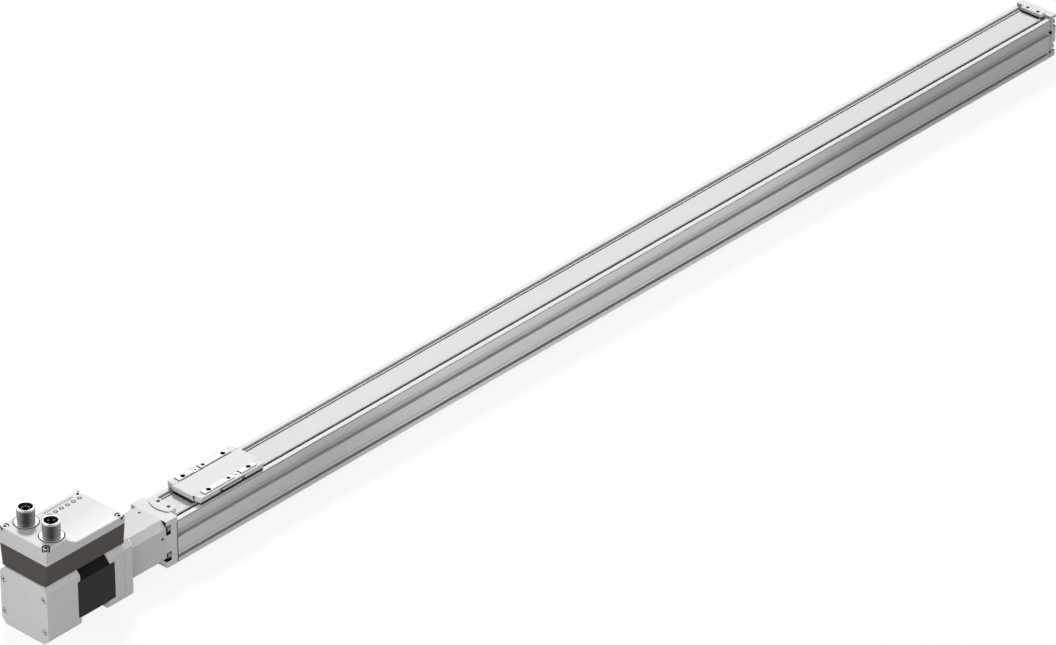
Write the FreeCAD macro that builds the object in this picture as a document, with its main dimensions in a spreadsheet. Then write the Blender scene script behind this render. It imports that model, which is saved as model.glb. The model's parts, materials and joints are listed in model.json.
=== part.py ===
# Ball screw linear axis: a slotted profile with a cover strip, a carriage on a ball guide, a screw
# turned by a stepper motor through a jaw coupling, and a drive with push keys on top of the motor.
# +X runs from the motor to the idle end, +Z is up, and the origin is the middle of the mounting face.
import FreeCAD, Part
import math
import os
from types import SimpleNamespace

import Sketcher

Vector = FreeCAD.Vector

# Driving sizes in millimetres. Names that start with a piece's name belong to that piece.
driving_sizes = {
    # profile and what runs along it
    "profile_length": 892,
    "profile_width": 32,
    "profile_height": 32.2,
    "lip_width": 3.2,
    "lip_depth": 4.4,
    "wall_thickness": 5.1,
    "floor_thickness": 4.0,
    "clamp_slot_height": 3.1,
    "clamp_slot_opening": 2.6,
    "clamp_slot_lip": 1.1,
    "clamp_slot_depth": 2.6,
    "clamp_slot_undercut": 0.6,
    "scribe_height": 8.0,
    "scribe_depth": 0.45,
    "scribe_half_width": 0.15,
    "lip_scribe_drop": 1.0,
    "sensor_slot_height": 18.6,
    "sensor_slot_opening": 3.5,
    "sensor_slot_depth": 3.1,
    "sensor_slot_lead_in": 1.6,
    "sensor_slot_slope": 4.1,
    "axis_height": 19.4,
    "rail_width": 7.0,
    "rail_height": 5.0,
    "rail_seat_depth": 0.6,
    "rail_end_gap": 8.0,
    "rail_groove_depth": 0.5,
    "strip_half_width": 10.15,
    "strip_thickness": 0.4,
    "strip_step": 0.7,
    "strip_edge": 0.85,
    "strip_drop": 0.1,
    "strip_overlap": 1.0,
    # end caps and strip clamps
    "cap_height": 35.4,
    "drive_cap_length": 10.8,
    "idle_cap_length": 6.5,
    "idle_cap_height": 34.3,
    "spigot_radius": 12.9,
    "spigot_length": 5.0,
    "shelf_length": 5.6,
    "idle_shelf_length": 3.7,
    "shelf_thickness": 2.8,
    "clamp_half_width": 9.2,
    "clamp_top": 36.2,
    "idle_clamp_top": 34.9,
    "clamp_reach": 1.4,
    "clamp_bulge": 2.5,
    "clamp_foot": 1.6,
    "idle_clamp_foot": 2.4,
    "tongue_gap": 1.2,
    "clamp_screw_reach": 3.0,
    "idle_screw_reach": 0.8,
    "clamp_screw_offset": 4.7,
    "clamp_screw_head_radius": 1.3,
    "clamp_screw_head_height": 1.2,
    "clamp_screw_shank_radius": 0.8,
    "clamp_screw_sink": 1.4,
    "cap_screw_offset": 14.0,
    "cap_screw_low": 8.1,
    "cap_screw_high": 28.3,
    "cap_screw_head_radius": 1.95,
    "cap_screw_head_height": 2.2,
    "cap_screw_shank_radius": 1.05,
    "cap_screw_grip": 8.0,
    "cap_notch_depth": 4.3,
    "cap_notch_half_height": 3.4,
    "cap_notch_half_width": 2.35,
    "cap_seam_width": 0.6,
    "cap_seam_depth": 0.5,
    "buffer_radius": 8.6,
    "buffer_bore": 5.6,
    "buffer_length": 5.0,
    # bearings
    "drive_bearing_radius": 7.5,
    "drive_bearing_width": 9.0,
    "drive_journal_radius": 3.0,
    "idle_bearing_radius": 4.5,
    "idle_bearing_width": 4.0,
    "idle_journal_radius": 2.0,
    "motor_bearing_radius": 6.5,
    "motor_bearing_width": 4.0,
    "ring_thickness": 1.6,
    "idle_ring_thickness": 0.9,
    "shield_thickness": 0.4,
    # screw and coupling
    "screw_radius": 4.0,
    "coupling_journal_radius": 2.5,
    "coupling_radius": 10.0,
    "coupling_hub_length": 11.0,
    "coupling_jaw_length": 7.0,
    "coupling_arm_width": 1.8,
    "coupling_core_radius": 3.6,
    "coupling_seat": 6.0,
    "lock_nut_radius": 6.0,
    "lock_nut_length": 4.5,
    # coupling housing
    "housing_length": 42.3,
    "housing_width": 32,
    "housing_chamfer": 4.75,
    "housing_bore": 13.0,
    "housing_blend": 4.6,
    "flange_thickness": 6.8,
    "grub_screw_radius": 1.0,
    "grub_screw_length": 2.6,
    "grub_screw_reach": 3.3,
    "grub_screw_offset": 4.7,
    # motor
    "motor_width": 42.4,
    "motor_height": 44.0,
    "motor_chamfer": 4.0,
    "front_bell_length": 8.7,
    "front_bell_ear": 4.3,
    "rear_bell_length": 27.5,
    "rear_bell_ear": 2.2,
    "stator_length": 32.7,
    "stator_width": 42.4,
    "stator_chamfer": 7.7,
    "pilot_radius": 11.0,
    "pilot_length": 2.0,
    "rotor_radius": 11.0,
    "rotor_gap": 0.35,
    "rotor_end_gap": 1.5,
    "winding_radius": 16.5,
    "winding_length": 3.5,
    "motor_bolt_offset": 15.5,
    "motor_bolt_head_radius": 2.75,
    "motor_bolt_head_height": 3.0,
    "motor_bolt_shank_radius": 1.5,
    "rear_screw_offset": 18.4,
    "rear_screw_rise": 12.1,
    "rear_screw_head_radius": 1.7,
    "rear_screw_head_height": 1.6,
    "rear_screw_shank_radius": 0.9,
    "magnet_radius": 4.0,
    "magnet_length": 3.0,
    "encoder_gap": 1.0,
    "board_thickness": 1.6,
    # drive electronics on the motor
    "base_inset": 1.2,
    "base_length": 69.0,
    "base_height": 16.2,
    "base_top_width": 42.4,
    "base_taper": 1.7,
    "base_wall": 2.2,
    "lid_wall": 1.8,
    "deck_height": 6.1,
    "block_height": 12.6,
    "block_length": 18.5,
    "block_blend": 12.5,
    "lid_edge_radius": 1.2,
    "lid_screw_inset": 2.6,
    "lid_screw_pocket_radius": 2.75,
    "lid_screw_pocket_depth": 2.4,
    "lid_screw_head_radius": 2.1,
    "lid_screw_head_height": 1.9,
    "lid_screw_shank_radius": 1.2,
    "lid_screw_grip": 6.0,
    "connector_boss_radius": 9.0,
    "connector_reach": 14.4,
    "connector_offset": 11.5,
    "connector_radius": 6.0,
    "connector_height": 11.8,
    "connector_mouth_radius": 4.8,
    "connector_mouth_depth": 8.5,
    "connector_flange_radius": 8.0,
    "connector_flange_height": 0.6,
    "connector_stem_radius": 5.4,
    "connector_stem_length": 6.0,
    "connector_chamfer": 0.9,
    "insert_thickness": 1.0,
    "seal_width": 0.65,
    "seal_depth": 0.5,
    "pin_radius": 0.5,
    "pin_length": 6.0,
    "pin_ring_radius": 2.75,
    "key_radius": 1.6,
    "key_pitch": 5.3,
    "key_reach": 5.8,
    "key_inset": 7.5,
    "key_stand": 0.15,
    "key_flange_radius": 2.1,
    "key_flange_thickness": 0.7,
    "key_travel": 0.4,
    "window_length": 26.0,
    "window_width": 1.6,
    "window_reach": 8.0,
    "window_inset": 3.5,
    "window_depth": 0.4,
    # carriage
    "carriage_start": 50.7,
    "cover_length": 61.0,
    "cheek_length": 59.0,
    "cheek_taper": 1.0,
    "cheek_half_width": 15.4,
    "cover_half_width": 9.5,
    "carriage_base": 33.8,
    "carriage_top": 37.7,
    "cover_base": 33.0,
    "pad_height": 0.7,
    "pad_outer": 14.0,
    "pad_end": 23.7,
    "pad_short": 13.7,
    "pad_long": 27.1,
    "bolt_spacing_length": 36.6,
    "bolt_spacing_width": 23.4,
    "bolt_hole_radius": 1.65,
    "middle_hole_radius": 1.25,
    "ring_screw_shift": 6.9,
    "ring_screw_offset": 11.6,
    "ring_screw_head_radius": 1.9,
    "ring_screw_head_height": 1.0,
    "ring_screw_shank_radius": 0.75,
    "ring_screw_grip": 5.0,
    "side_plate_length": 21.6,
    "side_plate_height": 2.4,
    "side_plate_depth": 0.9,
    "side_plate_corner": 1.1,
    "side_screw_shift": 9.6,
    "side_screw_height": 0.9,
    "side_screw_head_radius": 0.6,
    "side_screw_length": 1.8,
    "arm_length": 30.0,
    "arm_thickness": 2.0,
    "bracket_length": 46.0,
    "bracket_half_width": 9.9,
    "bracket_top_gap": 0.8,
    "bracket_shoulder": 1.7,
    "block_guide_length": 32.0,
    "block_guide_width": 17.0,
    "block_guide_base": 4.9,
    "block_guide_top": 11.4,
    "nut_radius": 7.0,
    "nut_length": 34.0,
    "nut_flange_radius": 9.9,
    "nut_flange_length": 3.5,
    "nut_screw_radius": 0.9,
    "nut_screw_length": 4.0,
    "wiper_length": 6.0,
    "wiper_half_width": 9.0,
    "wiper_inset": 0.3,
    "side_wiper_width": 1.8,
    # clearances
    "running_clearance": 0.06,
    "seat_clearance": 0.05,
    "free_clearance": 0.3,
}

key_count = 6
# A screw's socket in shares of its head's radius and height.
socket_share = 0.55
cos30 = math.cos(math.radians(30))

doc = FreeCAD.newDocument("ball_screw_axis")
sheet = doc.addObject("Spreadsheet::Sheet", "sizes")
for row, (alias, number) in enumerate(driving_sizes.items(), start=1):
    sheet.set(f"A{row}", alias)
    sheet.set(f"B{row}", str(number))
    sheet.setAlias(f"B{row}", alias)
doc.recompute()


class Dim:
    # A length worked out from the sheet: its number, and the expression that binds it.
    def __init__(self, number, text):
        self.number = number
        self.text = text

    def __add__(self, other):
        other = dim(other)
        return Dim(self.number + other.number, f"({self.text} + {other.text})")

    def __sub__(self, other):
        other = dim(other)
        return Dim(self.number - other.number, f"({self.text} - {other.text})")

    def __mul__(self, factor):
        return Dim(self.number * factor, f"({self.text} * {factor!r})")

    def __truediv__(self, divisor):
        return Dim(self.number / divisor, f"({self.text} / {divisor!r})")

    def __neg__(self):
        return Dim(-self.number, f"(-1 * {self.text})")


def dim(value):
    return value if isinstance(value, Dim) else Dim(float(value), f"({float(value)!r})")


size = SimpleNamespace(**{name: Dim(float(number), f"sizes.{name}")
                          for name, number in driving_sizes.items()})


def bind(target, prop, value):
    target.setExpression(prop, dim(value).text)


def origin_feature(body, role):
    return next(feature for feature in body.Origin.OriginFeatures if feature.Role == role)


def new_body(label, x=0, y=0, z=0):
    body = doc.addObject("PartDesign::Body", label)
    body.Label = label
    for axis, value in zip("xyz", (x, y, z)):
        bind(body, f"Placement.Base.{axis}", value)
    return body


def new_sketch(body, plane, offset=0):
    sketch = body.newObject("Sketcher::SketchObject", f"{body.Label}_sketch")
    sketch.AttachmentSupport = [(origin_feature(body, plane), "")]
    sketch.MapMode = "FlatFace"
    bind(sketch, "AttachmentOffset.Base.z", offset)
    return sketch


def pin_point(sketch, geometry, corner, x, y):
    # Ties one point of the sketch to its place.
    for direction, value in (("DistanceX", x), ("DistanceY", y)):
        constraint = Sketcher.Constraint(direction, -1, 1, geometry, corner, value.number)
        bind(sketch, f"Constraints[{sketch.addConstraint(constraint)}]", value)


def add_outline(sketch, points):
    # Adds a closed outline. A third value at a point is the radius of an arc to the next point,
    # positive where the arc turns left and negative where it turns right.
    first = sketch.GeometryCount
    corners = [(dim(point[0]), dim(point[1])) for point in points]
    places = [Vector(x.number, y.number, 0) for x, y in corners]
    for index, point in enumerate(points):
        start, end = places[index], places[(index + 1) % len(points)]
        if len(point) == 2:
            sketch.addGeometry(Part.LineSegment(start, end), False)
            continue
        radius = abs(point[2].number)
        chord = end - start
        left = Vector(-chord.y, chord.x, 0).normalize() * math.copysign(1, point[2].number)
        rise = radius - math.sqrt(radius ** 2 - (chord.Length / 2) ** 2)
        sketch.addGeometry(Part.Arc(start, (start + end) * 0.5 - left * rise, end), False)
    # An arc is stored turning left, so one that turns right has its ends the other way round.
    turned_about = [len(point) == 3 and point[2].number < 0 for point in points]
    for index in range(len(points)):
        following = (index + 1) % len(points)
        sketch.addConstraint(Sketcher.Constraint(
            "Coincident", first + index, 1 if turned_about[index] else 2,
            first + following, 2 if turned_about[following] else 1))
    for index, point in enumerate(points):
        pin_point(sketch, first + index, 2 if turned_about[index] else 1, *corners[index])
        if len(point) == 3:
            radius = point[2] if point[2].number > 0 else -point[2]
            constraint = Sketcher.Constraint("Radius", first + index, radius.number)
            bind(sketch, f"Constraints[{sketch.addConstraint(constraint)}]", radius)


def add_circle(sketch, x, y, radius):
    x, y, radius = dim(x), dim(y), dim(radius)
    centre = Vector(x.number, y.number, 0)
    index = sketch.addGeometry(Part.Circle(centre, Vector(0, 0, 1), radius.number), False)
    pin_point(sketch, index, 3, x, y)
    constraint = Sketcher.Constraint("Radius", index, radius.number)
    bind(sketch, f"Constraints[{sketch.addConstraint(constraint)}]", radius)


def rectangle(x0, x1, y0, y1):
    return [(x0, y0), (x1, y0), (x1, y1), (x0, y1)]


def octagon(half_width, half_height, chamfer, centre_height=0):
    # An upright rectangle with its four corners cut at 45 degrees.
    low, high = centre_height - half_height, centre_height + half_height
    return [(chamfer - half_width, low), (half_width - chamfer, low), (half_width, low + chamfer),
            (half_width, high - chamfer), (half_width - chamfer, high), (chamfer - half_width, high),
            (-half_width, high - chamfer), (-half_width, low + chamfer)]


def feature_from(body, kind, sketch, length, reverse=False):
    feature = body.newObject(f"PartDesign::{kind}", f"{body.Label}_{kind.lower()}")
    feature.Profile = sketch
    bind(feature, "Length", length)
    feature.Reversed = reverse
    return feature


def pad(body, plane, start, length, points=None, circles=()):
    sketch = new_sketch(body, plane, start)
    if points:
        add_outline(sketch, points)
    for circle in circles:
        add_circle(sketch, *circle)
    return feature_from(body, "Pad", sketch, length)


def pocket(body, plane, start, length, points=None, circles=()):
    # Cuts from the start along the plane's own direction.
    sketch = new_sketch(body, plane, start)
    if points:
        add_outline(sketch, points)
    for circle in circles:
        add_circle(sketch, *circle)
    return feature_from(body, "Pocket", sketch, length, reverse=True)


def turn(body, points, axis="X_Axis"):
    # Turns an outline of (along, radius), or of (radius, height) about the upright axis.
    sketch = new_sketch(body, "XZ_Plane")
    add_outline(sketch, points)
    feature = body.newObject("PartDesign::Revolution", f"{body.Label}_turned")
    feature.Profile = sketch
    feature.ReferenceAxis = (origin_feature(body, axis), [""])
    feature.Angle = 360
    return feature


def repeat_round(body, feature, count):
    pattern = body.newObject("PartDesign::PolarPattern", f"{body.Label}_round")
    pattern.Originals = [feature]
    pattern.Axis = (origin_feature(body, "X_Axis"), [""])
    pattern.Angle = 360
    pattern.Occurrences = count
    body.Tip = pattern
    return pattern


def round_edges(body, feature, radius, wanted):
    doc.recompute()
    names = [f"Edge{index}" for index, edge in enumerate(feature.Shape.Edges, start=1) if wanted(edge)]
    fillet = body.newObject("PartDesign::Fillet", f"{body.Label}_fillet")
    fillet.Base = (feature, names)
    bind(fillet, "Radius", radius)
    return fillet


def near(first, second):
    return abs(first - second) < 1e-4


parts = []


def keep(part):
    parts.append(part)
    return part


def gather(label, pieces):
    # Several separate pieces of one kind as a single node.
    group = doc.addObject("Part::Compound", label)
    group.Label = label
    group.Links = pieces
    return keep(group)


def ring(label, start, length, bore, radius):
    # A plain ring on the screw's axis.
    body = new_body(label, z=size.axis_height)
    turn(body, rectangle(start, start + length, bore, radius))
    return body


def screw_master(name, head_radius, head_height, shank_radius, grip):
    # One screw that stands on its seat, head up, with a hexagon socket.
    body = new_body(name)
    turn(body, [(0, -grip), (shank_radius, -grip), (shank_radius, 0), (head_radius, 0),
                (head_radius, head_height), (0, head_height)], "Z_Axis")
    reach = head_radius * socket_share
    corners = [(reach * math.cos(math.radians(angle)), reach * math.sin(math.radians(angle)))
               for angle in range(0, 360, 60)]
    sketch = new_sketch(body, "XY_Plane", head_height)
    add_outline(sketch, corners)
    feature_from(body, "Pocket", sketch, head_height * socket_share)
    return body


def copies_of(master, places):
    # Copies of one piece: each place is x, y, z and the way the piece's top points.
    copies = []
    for x, y, z, way in places:
        copy = doc.addObject("App::Link", f"{master.Label}_copy")
        copy.LinkedObject = master
        copy.LinkTransform = False
        copy.LinkPlacement = FreeCAD.Placement(Vector(), FreeCAD.Rotation(Vector(0, 0, 1), Vector(*way)))
        for axis, value in zip("xyz", (x, y, z)):
            bind(copy, f"LinkPlacement.Base.{axis}", value)
        copies.append(copy)
    return copies


def screw_group(label, master, places):
    return gather(label, copies_of(master, places))


# Stations along the axis
drive_end = -size.profile_length / 2
idle_end = size.profile_length / 2
cap_face = drive_end - size.drive_cap_length
motor_face = cap_face - size.housing_length
flange_front = motor_face + size.flange_thickness
stator_front = motor_face - size.front_bell_length
stator_rear = stator_front - size.stator_length
motor_rear = stator_rear - size.rear_bell_length
front_bearing_start = motor_face - size.pilot_length - size.motor_bearing_width
rear_bearing_start = stator_rear - size.winding_length - size.motor_bearing_width - size.rotor_end_gap
motor_shaft_room = size.coupling_journal_radius + size.ring_thickness + size.free_clearance
carriage_middle = drive_end + size.carriage_start

# Heights and widths that several pieces share
half_width = size.profile_width / 2
lip_inside = half_width - size.lip_width
cavity_half = half_width - size.wall_thickness
rail_base = size.floor_thickness - size.rail_seat_depth
rail_half = size.rail_width / 2
strip_top = size.profile_height - size.strip_drop
strip_edge_base = strip_top - size.strip_thickness - size.strip_step
strip_face = strip_edge_base + size.strip_thickness
strip_room = size.strip_half_width + size.seat_clearance
screw_rows = [(side, height) for height in (size.cap_screw_low, size.cap_screw_high)
              for side in (-size.cap_screw_offset, size.cap_screw_offset)]


def mirrored(right):
    # Closes an outline from its right half, bottom to top and back.
    return right + [(-point[0], point[1]) for point in reversed(right)]


def make_profile():
    body = keep(new_body("profile"))
    slot_low, slot_high = size.clamp_slot_height, size.clamp_slot_height + size.clamp_slot_opening
    slot_lip, slot_back = half_width - size.clamp_slot_lip, half_width - size.clamp_slot_depth
    sensor_top = size.sensor_slot_height + size.sensor_slot_opening
    sensor_back = half_width - size.sensor_slot_depth
    lip_foot = size.profile_height - size.lip_depth
    lip_scribe = size.profile_height - size.lip_scribe_drop
    right = [
        (half_width, dim(0)),
        (half_width, slot_low),
        (slot_lip, slot_low),
        (slot_lip, slot_low - size.clamp_slot_undercut),
        (slot_back, slot_low - size.clamp_slot_undercut),
        (slot_back, slot_high + size.clamp_slot_undercut),
        (slot_lip, slot_high + size.clamp_slot_undercut),
        (slot_lip, slot_high),
        (half_width, slot_high),
        (half_width, size.scribe_height - size.scribe_half_width),
        (half_width - size.scribe_depth, size.scribe_height),
        (half_width, size.scribe_height + size.scribe_half_width),
        (half_width, size.sensor_slot_height),
        (sensor_back, size.sensor_slot_height),
        (sensor_back, sensor_top),
        (half_width - size.sensor_slot_lead_in, sensor_top),
        (half_width, sensor_top + size.sensor_slot_slope),
        (half_width, lip_scribe - size.scribe_half_width),
        (half_width - size.scribe_depth, lip_scribe),
        (half_width, lip_scribe + size.scribe_half_width),
        (half_width, size.profile_height),
        (lip_inside, size.profile_height),
        (lip_inside, lip_foot),
        (cavity_half, lip_foot - (lip_inside - cavity_half)),
        (cavity_half, size.floor_thickness),
        (rail_half + size.seat_clearance, size.floor_thickness),
        (rail_half + size.seat_clearance, rail_base),
    ]
    pad(body, "YZ_Plane", drive_end, size.profile_length, mirrored(right))
    room = size.cap_screw_shank_radius + size.seat_clearance
    holes = [(side, height, room) for side, height in screw_rows]
    pocket(body, "YZ_Plane", drive_end, size.cap_screw_grip + size.free_clearance, circles=holes)
    pocket(body, "YZ_Plane", idle_end - size.cap_screw_grip - size.free_clearance,
           size.cap_screw_grip + size.free_clearance, circles=holes)


def make_guide_rail():
    body = keep(new_body("guide_rail"))
    groove = rail_base + size.rail_height / 2
    right = [
        (rail_half, rail_base),
        (rail_half, groove - size.rail_groove_depth),
        (rail_half - size.rail_groove_depth, groove),
        (rail_half, groove + size.rail_groove_depth),
        (rail_half, rail_base + size.rail_height),
    ]
    pad(body, "YZ_Plane", drive_end + size.rail_end_gap, size.profile_length - size.rail_end_gap * 2,
        mirrored(right))


def make_cover_strip():
    body = keep(new_body("cover_strip"))
    # A thin sheet with its edges folded up.
    fold = size.strip_half_width - size.strip_edge
    right = [
        (size.strip_half_width, strip_edge_base),
        (size.strip_half_width, strip_top),
        (fold, strip_top),
        (fold, strip_face),
    ]
    pad(body, "YZ_Plane", drive_end - size.strip_overlap, size.profile_length + size.strip_overlap * 2,
        mirrored(right))
    holes = clamp_screw_holes(drive_end + size.clamp_screw_reach)
    holes += clamp_screw_holes(idle_end - size.idle_screw_reach)
    pocket(body, "XY_Plane", strip_edge_base, size.strip_thickness, circles=holes)


def clamp_screw_holes(x):
    room = size.clamp_screw_shank_radius + size.seat_clearance
    return [(x, side, room) for side in (-size.clamp_screw_offset, size.clamp_screw_offset)]


def clamp_outline(root, front, bulge, room):
    # Plan of a strip clamp from its bulged root to its straight front, with room all round but in front.
    half = size.clamp_half_width + room
    rise = size.clamp_bulge + room
    radius = Dim((half.number ** 2 + rise.number ** 2) / (2 * rise.number),
                 f"(({half.text} * {half.text} + {rise.text} * {rise.text}) / (2 * {rise.text}))")
    if bulge:
        return [(root, half, radius), (root, -half), (front, -half), (front, half)]
    return rectangle(front, root, -half, half)


def drive_clamp_outline(front, room=0):
    return clamp_outline(drive_end - size.clamp_reach, front, True, dim(room))


def idle_clamp_outline(front, room=0):
    return clamp_outline(idle_end + size.clamp_reach + size.clamp_bulge / 2 + room, front, False, dim(room))


def notch_outline(side, height):
    inner = size.cap_screw_offset - size.cap_notch_half_width
    outer = half_width + size.free_clearance
    low, high = height - size.cap_notch_half_height, height + size.cap_notch_half_height
    if side.number > 0:
        return rectangle(inner, outer, low, high)
    return rectangle(-outer, -inner, low, high)


def make_drive_end_cap():
    body = keep(new_body("drive_end_cap"))
    # A shallow seam runs up each side where the cap meets the profile.
    seam_half = half_width - size.cap_seam_depth
    pad(body, "YZ_Plane", cap_face, size.drive_cap_length - size.cap_seam_width,
        rectangle(-half_width, half_width, 0, size.cap_height))
    pad(body, "YZ_Plane", drive_end - size.cap_seam_width, size.cap_seam_width,
        rectangle(-seam_half, seam_half, 0, size.cap_height))
    pad(body, "YZ_Plane", cap_face - size.spigot_length, size.spigot_length,
        circles=[(0, size.axis_height, size.spigot_radius)])
    shelf_base = strip_edge_base - size.shelf_thickness
    pad(body, "XY_Plane", shelf_base, size.shelf_thickness,
        rectangle(drive_end - size.clamp_reach, drive_end + size.shelf_length,
                  -size.clamp_half_width, size.clamp_half_width))
    pocket(body, "XY_Plane", strip_edge_base, size.cap_height - strip_edge_base + size.free_clearance,
           drive_clamp_outline(drive_end + size.shelf_length + size.free_clearance, size.seat_clearance))
    strip_end = drive_end - size.strip_overlap - size.seat_clearance
    pocket(body, "XY_Plane", strip_edge_base, strip_top + size.seat_clearance - strip_edge_base,
           rectangle(strip_end, drive_end, -strip_room, strip_room))
    bearing_bore = size.drive_bearing_radius + size.seat_clearance
    shaft_room = size.drive_journal_radius + size.ring_thickness + size.free_clearance
    pocket(body, "YZ_Plane", cap_face - size.spigot_length, size.spigot_length + size.drive_bearing_width,
           circles=[(0, size.axis_height, bearing_bore)])
    pocket(body, "YZ_Plane", cap_face, size.drive_cap_length,
           circles=[(0, size.axis_height, shaft_room)])
    for side, height in screw_rows:
        pocket(body, "YZ_Plane", cap_face, size.cap_notch_depth, notch_outline(side, height))
    pocket(body, "YZ_Plane", cap_face, size.drive_cap_length,
           circles=[(side, height, size.cap_screw_shank_radius + size.seat_clearance)
                    for side, height in screw_rows])
    pocket(body, "XY_Plane", shelf_base, size.shelf_thickness,
           circles=clamp_screw_holes(drive_end + size.clamp_screw_reach))


def make_idle_end_cap():
    body = keep(new_body("idle_end_cap"))
    seam_half = half_width - size.cap_seam_depth
    pad(body, "YZ_Plane", idle_end + size.cap_seam_width, size.idle_cap_length - size.cap_seam_width,
        rectangle(-half_width, half_width, 0, size.idle_cap_height))
    pad(body, "YZ_Plane", idle_end, size.cap_seam_width,
        rectangle(-seam_half, seam_half, 0, size.idle_cap_height))
    shelf_base = strip_edge_base - size.shelf_thickness
    pad(body, "XY_Plane", shelf_base, size.shelf_thickness,
        rectangle(idle_end - size.idle_shelf_length, idle_end + size.clamp_reach,
                  -size.clamp_half_width, size.clamp_half_width))
    pocket(body, "XY_Plane", strip_edge_base, size.idle_cap_height - strip_edge_base + size.free_clearance,
           idle_clamp_outline(idle_end - size.idle_shelf_length - size.free_clearance, size.seat_clearance))
    strip_end = idle_end + size.strip_overlap + size.seat_clearance
    pocket(body, "XY_Plane", strip_edge_base, strip_top + size.seat_clearance - strip_edge_base,
           rectangle(idle_end, strip_end, -strip_room, strip_room))
    pocket(body, "YZ_Plane", idle_end, size.idle_bearing_width,
           circles=[(0, size.axis_height, size.idle_bearing_radius + size.seat_clearance)])
    relief = size.idle_journal_radius + size.idle_ring_thickness + size.free_clearance
    pocket(body, "YZ_Plane", idle_end, size.idle_bearing_width + size.free_clearance,
           circles=[(0, size.axis_height, relief)])
    # The side slots run on into the cap, so that slot nuts can pass its joint.
    slot_run = size.idle_cap_length / 3
    for low, high, depth in ((size.sensor_slot_height, size.sensor_slot_height + size.sensor_slot_opening,
                              size.sensor_slot_depth),
                             (size.clamp_slot_height, size.clamp_slot_height + size.clamp_slot_opening,
                              size.clamp_slot_depth)):
        inner, outer = half_width - depth, half_width + size.free_clearance
        for side in (-1, 1):
            pocket(body, "YZ_Plane", idle_end, slot_run, rectangle(inner * side, outer * side, low, high))
    notch_depth = size.idle_cap_length / 2
    for side, height in screw_rows:
        pocket(body, "YZ_Plane", idle_end + size.idle_cap_length - notch_depth, notch_depth,
               notch_outline(side, height))
    pocket(body, "YZ_Plane", idle_end, size.idle_cap_length,
           circles=[(side, height, size.cap_screw_shank_radius + size.seat_clearance)
                    for side, height in screw_rows])
    pocket(body, "XY_Plane", shelf_base, size.shelf_thickness,
           circles=clamp_screw_holes(idle_end - size.idle_screw_reach))


def make_strip_clamp(label, outline, top, screw_x, gap_from, gap_to):
    # A plate that holds the strip's end down, with a tongue that stands clear of the strip.
    body = keep(new_body(label))
    pad(body, "XY_Plane", strip_face, top - strip_face, outline)
    half = size.clamp_half_width + size.free_clearance
    pocket(body, "XY_Plane", strip_face, size.tongue_gap, rectangle(gap_from, gap_to, -half, half))
    holes = clamp_screw_holes(screw_x)
    pocket(body, "XY_Plane", strip_face, top - strip_face, circles=holes)
    sink = size.clamp_screw_sink + size.clamp_screw_head_height
    head_room = size.clamp_screw_head_radius + size.seat_clearance
    pocket(body, "XY_Plane", top - sink, sink, circles=[(x, side, head_room) for x, side, _ in holes])
    # The screws of this clamp, let into its top.
    seat = top - sink
    grip = seat - strip_edge_base + size.shelf_thickness
    master = screw_master(label + "_screw_master", size.clamp_screw_head_radius,
                          size.clamp_screw_head_height, size.clamp_screw_shank_radius, grip)
    return copies_of(master, [(x, side, seat, (0, 0, 1)) for x, side, _ in holes])


def make_strip_clamps():
    drive_front = drive_end + size.shelf_length
    screws = make_strip_clamp("drive_strip_clamp", drive_clamp_outline(drive_front), size.clamp_top,
                              drive_end + size.clamp_screw_reach,
                              drive_end + size.clamp_foot, drive_front + size.free_clearance)
    idle_front = idle_end - size.idle_shelf_length
    screws += make_strip_clamp("idle_strip_clamp", idle_clamp_outline(idle_front), size.idle_clamp_top,
                               idle_end - size.idle_screw_reach,
                               idle_front - size.free_clearance, idle_end - size.idle_clamp_foot)
    gather("strip_clamp_screws", screws)


def make_end_cap_screws():
    drive_seat = cap_face + size.cap_notch_depth
    drive_grip = size.drive_cap_length - size.cap_notch_depth + size.cap_screw_grip
    head = (size.cap_screw_head_radius, size.cap_screw_head_height, size.cap_screw_shank_radius)
    drive_master = screw_master("drive_cap_screw_master", *head, drive_grip)
    copies = copies_of(drive_master, [(drive_seat, side, height, (-1, 0, 0)) for side, height in screw_rows])
    idle_seat = idle_end + size.idle_cap_length / 2
    idle_grip = size.idle_cap_length / 2 + size.cap_screw_grip
    idle_master = screw_master("idle_cap_screw_master", *head, idle_grip)
    copies += copies_of(idle_master, [(idle_seat, side, height, (1, 0, 0)) for side, height in screw_rows])
    gather("end_cap_screws", copies)


def outer_ring_outline(start, width, radius, inner_radius, thickness):
    # A bearing's outer ring with a shield at each side that stops short of the inner ring.
    shield = inner_radius + size.running_clearance
    race = radius - thickness
    end = start + width
    left, right = start + size.shield_thickness, end - size.shield_thickness
    return [(start, radius), (start, shield), (left, shield), (left, race),
            (right, race), (right, shield), (end, shield), (end, radius)]


def make_bearing(place, start, width, radius, journal, thickness):
    inner_radius = journal + thickness
    outer = new_body(f"{place}_bearing_outer_ring", z=size.axis_height)
    turn(outer, outer_ring_outline(start, width, radius, inner_radius, thickness))
    return outer, ring(f"{place}_bearing_inner_ring", start, width, journal, inner_radius)


def make_bearings():
    rings = make_bearing("drive", cap_face, size.drive_bearing_width, size.drive_bearing_radius,
                         size.drive_journal_radius, size.ring_thickness)
    rings += make_bearing("idle", idle_end, size.idle_bearing_width, size.idle_bearing_radius,
                          size.idle_journal_radius, size.idle_ring_thickness)
    for bearing_ring in rings:
        keep(bearing_ring)
    motor_ring = (size.motor_bearing_width, size.motor_bearing_radius, size.coupling_journal_radius,
                  size.ring_thickness)
    front_outer, front_inner = make_bearing("motor_front", front_bearing_start, *motor_ring)
    rear_outer, rear_inner = make_bearing("motor_rear", rear_bearing_start, *motor_ring)
    gather("motor_bearing_outer_rings", [front_outer, rear_outer])
    gather("motor_bearing_inner_rings", [front_inner, rear_inner])


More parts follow.
